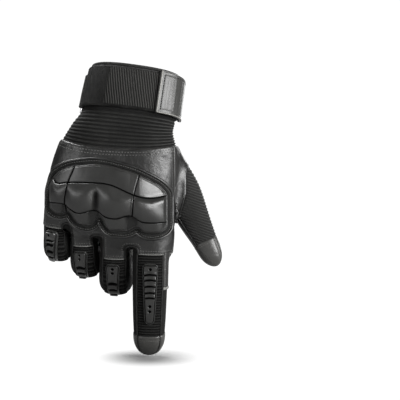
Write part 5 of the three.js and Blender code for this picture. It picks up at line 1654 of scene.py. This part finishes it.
def fingerGuard(name):  # a flange, a groove behind it and a ribbed middle, laid along the finger's back
    f, look = fingers[name], fingerGuardLook
    start, end = f["guard"]
    end = end + look["wrap"] * (name != "index")
    length = (end - start) * f["length"]
    rows, columns = ((190, 56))
    s = 0.5 - 0.5 * np.cos(np.linspace(0, np.pi, rows))
    s = (0.5 * s + 0.5 * np.linspace(0, 1, rows))[:, None] + np.zeros(columns)
    along = s * length
    near = np.minimum(along, length - along)
    half = look[name]["width"] / 2 * (1 - look["narrow"] * s) - cornerCut(near, look["corner"])
    across = np.linspace(-1, 1, columns)[None] * half
    edge = np.minimum(near, half - np.abs(across))
    moat = np.exp(-((edge - look["moat"]) / 0.26) ** 2)
    inside = smooth(edge, look["moat"] + 0.1, look["moat"] + 0.8)
    height = look["flange"] * (0.3 + 0.7 * np.sqrt(smooth(edge, 0, 0.6))) - 0.7 * moat
    height = height + (look["thick"] - look["flange"]) * inside
    groove = np.zeros(along.shape)
    for place in look[name]["grooves"]:
        bowed = place - 0.9 * (1 - (across / 4.5) ** 2)
        d = along - bowed - 0.9
        thin = 0.7 - 0.3 * np.minimum(np.abs(across) / 5, 1) ** 2
        groove = np.maximum(groove, np.exp(-(d / thin) ** 2) * inside)
        height = height + 0.45 * inside * np.exp(-((d + 1.2) / 1.2) ** 2)
    for place in look[name]["holes"]:
        r = np.hypot(along - place, across)
        groove = np.maximum(groove, 1 - smooth(r, 0.85, 1.3))
    height = height - 0.85 * groove
    # painted shade in the grooves, holes and moat
    groove = np.maximum(smooth(groove, 0.05, 0.5), 0.7 * smooth(moat, 0.35, 0.95))
    height = height * (1 - 0.35 * smooth(s, 0.8, 1.0) * (name != "index"))
    share = start + (end - start) * s
    wide = fingerSize(f, share)[0] + 1.5
    sideways = np.clip((across + look[name]["shift"]) / wide, -0.95, 0.95)
    around = -np.pi / 2 - math.radians(f["guardTurn"]) + np.arcsin(signedPower(sideways, glove["fingerPower"] / 2))
    outer, _n = fingerPlace(name, share, around, 0.45 + height)
    inner, _n = fingerPlace(name, share, around, 0.2)
    sheetPiece(name + "Guard", outer, inner, "guard", "guard_rubber", name + "_guard", edge=edge, groove=groove)


say("guards")
knuckleGuard()
guardSurround()
for name in fingers:
    fingerGuard(name)


# Palm side: suede patches, touch pads, and the leather strip beside the index finger
palmLook = {
    "patchRise": 1.5, "padLength": 15, "padWidth": 12.5, "padThick": 0.7, "ridges": 5, "ridgeHeight": 0.16,
    "fingerPadAt": 0.885, "thumbPadAt": 1.055, "thumbPadTurn": math.radians(126), "thumbPadScale": 0.82,
    "stripEnd": 0.49, "stripWidth": 5.5,  # the leather strip beside the index finger: share of the finger, millimetres
    "palmOutline": [(-0.45, 0.5), (0.0, 0.5), (-0.02, 0.6), (0.02, 0.7), (0.16, 0.8), (0.2, 0.88), (0.2, 0.95),
                    (0.0, 0.955), (-0.3, 0.95), (-0.56, 0.93), (-0.62, 0.88), (-0.64, 0.8), (-0.62, 0.7), (-0.58, 0.6)],
    "thumbOutline": [(0.06, 0.52), (0.11, 0.52), (0.17, 0.6), (0.24, 0.68), (0.27, 0.76), (0.15, 0.76), (0.08, 0.68),
                     (0.05, 0.6)],
}


def insideOf(p, outline):  # distance to a closed outline, above 0 inside it
    ring = np.concatenate([outline, outline[:1]])
    distance = toLine(p, ring)
    crossings = np.zeros(len(p), int)
    for a, b in zip(ring[:-1], ring[1:]):
        spans = (a[1] > p[:, 1]) != (b[1] > p[:, 1])
        x = a[0] + (p[:, 1] - a[1]) * (b[0] - a[0]) / (b[1] - a[1] + 1e-12)
        crossings += spans & (p[:, 0] < x)
    return np.where(crossings % 2 == 1, distance, -distance)


def palmPatches():  # suede cut out of the skin's palm side, with two rows of stitches and a piped edge
    for key, name, node in (("palmOutline", "palmPatch", "palm_patch"), ("thumbOutline", "thumbPatch", "thumb_patch")):
        outline = eased(closedEven(np.array([(x * palmWidth, -down * handLength) for x, down in palmLook[key]]), 160), 14)
        v = skin["values"]
        v["patch"] = np.where(v["side"] > 1, insideOf(skin["points"][:, [0, 2]], outline), -9.0)
        v["patch"] = np.minimum(v["patch"], -v["crotch"] - 1.0)
        part = panel(skin, above=("patch",), rise=palmLook["patchRise"], tuck=0.8)
        shell(part, name, "suede", "suede", node, thick=0.9)
        for offset in (1.6, 3.2):
            sew(part, "patch", offset, 2.1, 1.5, 0.22)
        for p, n in seams(part, part["values"]["patch"] - 0.35):
            pipes.append(tube(p - n * 0.3, 0.5, normals=n))


def touchPad(name, node, place, scale):  # an oval with ridges in rings round a shifted centre
    halfLong, halfWide = scale * palmLook["padLength"] / 2, scale * palmLook["padWidth"] / 2
    r, a = crossed(np.linspace(0.02, 1, 40), turn(72))
    along, across = r * halfLong * np.cos(a), r * halfWide * np.sin(a)
    ripple = np.sqrt((along - 0.8) ** 2 + (across * 1.15 + 0.4 * np.sin(along)) ** 2) / (scale * 6.5) * palmLook["ridges"]
    ridge = 0.5 + 0.5 * np.cos(2 * np.pi * ripple)
    height = 0.45 + palmLook["padThick"] * (0.4 + 0.6 * np.sqrt(smooth(1 - r, 0, 0.12)))
    height = height + palmLook["ridgeHeight"] * ridge * smooth(1 - r, 0.02, 0.15)
    rings = np.concatenate([place(along, across, 0.1 + 0 * height), place(along, across, height)[::-1]])
    values = np.concatenate([np.zeros(r.size), ridge[::-1].ravel(), [0, 1]])
    dress(makeMesh(name, *closedLoft(rings), dict(ridge=values)), "touch", "touch_fabric", node)
    rim = turn(72)
    edge = place(halfLong * 1.03 * np.cos(rim), halfWide * 1.03 * np.sin(rim), 0.55 + 0 * rim)
    pipes.append(tube(edge, 0.42, closed=True))


def touchPads():  # on two fingertips and the thumb's
    look = palmLook
    for name in ("index", "middle"):
        f = fingers[name]
        radius = f["wide"] * glove["fingerWidth"] / 2
        onFinger = lambda along, across, rise: fingerPoint(f, look["fingerPadAt"] + along / f["length"],
                                                           np.pi / 2 + across / radius, rise)
        touchPad(name + "TouchPad", name + "_touch_pad", onFinger, 1)
    radius = 0.088 * palmWidth
    onThumb = lambda along, across, rise: thumbPoint(look["thumbPadAt"] + along / handLength,
                                                     look["thumbPadTurn"] + across / radius, rise)
    touchPad("thumbTouchPad", "thumb_touch_pad", onThumb, look["thumbPadScale"])


def indexStrip():  # leather beside the index finger, with two rows of stitches and a bar tack
    f = fingers["index"]
    s, u = crossed(np.linspace(0, 1, 90), np.linspace(-1, 1, 20))
    share = f["cut"] - 0.02 + (palmLook["stripEnd"] - f["cut"] + 0.02) * s
    ends = np.sqrt(np.clip(1 - np.maximum(s - 0.93, 0) ** 2 / 0.07**2 * 0.6, 0, 1))
    around = -0.5 + u * ends * 0.34
    edge = np.minimum((1 - np.abs(u)) * palmLook["stripWidth"] / 2, (1 - s) * 26)
    outer, n = fingerPlace("index", share, around, 0.35 + 0.85 * np.sqrt(smooth(edge, 0, 0.9)) + 0 * share)
    inner, _n = fingerPlace("index", share, around, 0.1 + 0 * share)
    sheetPiece("indexStrip", outer, inner, "leather", "leather", "index_side_strip", edge=edge)
    for side in (4, 15):
        threads.append(stitches(outer[:, side], n[:, side], 1.8, 1.3, 0.22))
    tack = fingerPlace("index", np.full(30, 0.487), -0.5 + np.linspace(-0.33, 0.33, 30), np.full(30, 1.0))
    greyPipes.append(tube(tack[0], 1.2, flat=0.4, normals=tack[1]))


say("palm side")
palmPatches()
touchPads()
indexStrip()
for name, parts, *kind in (
    ("threads", threads, "thread", "leather", "back_leather"),
    ("darkThreads", darkThreads, "darkThread", "tab_leather", "strap_tab"),
    ("piping", pipes, "piping", "leather", "back_leather"),
    ("greyPiping", greyPipes, "greyPiping", "webbing", "strap_patch"),
):
    dress(makeMesh(name, *joined(parts)), *kind)


# Camera at the photograph's angle, soft boxes and a pale floor, with a painted shadow under the fingertip
studio = {
    "lens": 135, "distance": 1.17, "raised": 3.0, "target": (0.0491, 0.0, -0.0988), "floor": -0.2222,
    "ambient": 0.1, "floorTone": 0.22,
    "under": (0.0095, 0, 0), "deep": 0.85, "shadowFade": (0.008, 0.05),  # the painted shadow's middle, squeeze and fade, in metres
    "lights": [  # name, place, size, watts
        ("key", (1.25, -0.78, 0.06), 1.15, 92),
        ("fill", (-0.85, -0.95, 0.12), 0.9, 10),
        ("top", (-0.42, 0.3, 1.05), 0.85, 44),
        ("back", (0.3, 1.5, 0.4), 1.2, 16),
    ],
}


def softBox(name, place, size, watts):  # a square lamp that faces the glove's middle
    light = bpy.data.lights.new(name, "AREA")
    light.shape, light.size, light.energy = "SQUARE", size, watts
    box = bpy.data.objects.new(name, light)
    bpy.context.scene.collection.objects.link(box)
    box.location = place
    aim = Vector((0, 0, -0.1)) - box.location
    box.rotation_euler = aim.to_track_quat("-Z", "Y").to_euler()


def paleFloor():  # lit grey under the fingertip, where its real shadow shows, and painted white to the camera further out: a painted shadow that fades into the white background all round
    mesh = bpy.data.meshes.new("floor")
    corners = [(x * 2.5, y * 2.5, studio["floor"]) for x, y in ((-1, -1), (1, -1), (1, 1), (-1, 1))]
    mesh.from_pydata(corners, [], [(0, 1, 2, 3)])
    floor = bpy.data.objects.new("floor", mesh)
    bpy.context.scene.collection.objects.link(floor)
    material = bpy.data.materials.new("paleFloor")
    material.use_nodes = True
    w = Wires(material.node_tree)
    shader = material.node_tree.nodes["Principled BSDF"]
    shader.inputs["Base Color"].default_value = (*[studio["floorTone"]] * 3, 1)
    shader.inputs["Roughness"].default_value = 0.9
    where = w.node("TexCoord").outputs["Object"]
    around = w.node("VectorMath", {0: where, 1: studio["under"]}, operation="SUBTRACT").outputs["Vector"]
    around = w.node("VectorMath", {0: around, 1: (1, studio["deep"], 0)}, operation="MULTIPLY").outputs["Vector"]
    reach = w.node("VectorMath", {0: around}, operation="LENGTH").outputs["Value"]
    seen = w.node("LightPath").outputs["Is Camera Ray"]
    # painted shadow: the camera sees the grey lit floor only near the fingertip, and white glow beyond
    share = w.calc("MULTIPLY", w.ease(reach, *studio["shadowFade"]), seen)
    glow = w.node("Emission", {"Color": (1, 1, 1, 1), "Strength": 1.1})
    mixed = w.node("MixShader", {0: share, 1: shader.outputs[0], 2: glow.outputs[0]})
    w.put(material.node_tree.nodes["Material Output"].inputs[0], mixed.outputs[0])
    mesh.materials.append(material)
    floor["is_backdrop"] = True


def whiteSurround():  # white to the camera, dimmer as a light
    world = bpy.data.worlds.new("surround")
    bpy.context.scene.world = world
    world.use_nodes = True
    w = Wires(world.node_tree)
    dim = world.node_tree.nodes["Background"]
    w.put(dim.inputs[0], (1, 1, 1, 1))
    w.put(dim.inputs[1], studio["ambient"])
    seen = w.node("Background", {0: (1, 1, 1, 1), 1: 1.05})
    mixed = w.node("MixShader", {0: w.node("LightPath").outputs["Is Camera Ray"], 1: dim.outputs[0], 2: seen.outputs[0]})
    w.put(world.node_tree.nodes["World Output"].inputs[0], mixed.outputs[0])


say("studio")
for row in studio["lights"]:
    softBox(*row)
paleFloor()
whiteSurround()
bpy.context.scene.view_settings.view_transform = "Standard"
lens = bpy.data.cameras.new("camera")
lens.lens = studio["lens"]
camera = bpy.data.objects.new("camera", lens)
bpy.context.scene.collection.objects.link(camera)
raised = math.radians(studio["raised"])
target = Vector(studio["target"])
camera.location = target + studio["distance"] * Vector((0, -math.cos(raised), math.sin(raised)))
camera.rotation_euler = (target - camera.location).to_track_quat("-Z", "Y").to_euler()
bpy.context.scene.camera = camera

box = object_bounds()
plain = lambda b: [[float(x) for x in corner] for corner in b]
{"cad": plain(frameBox), "visual": plain(box)}
say("finish")
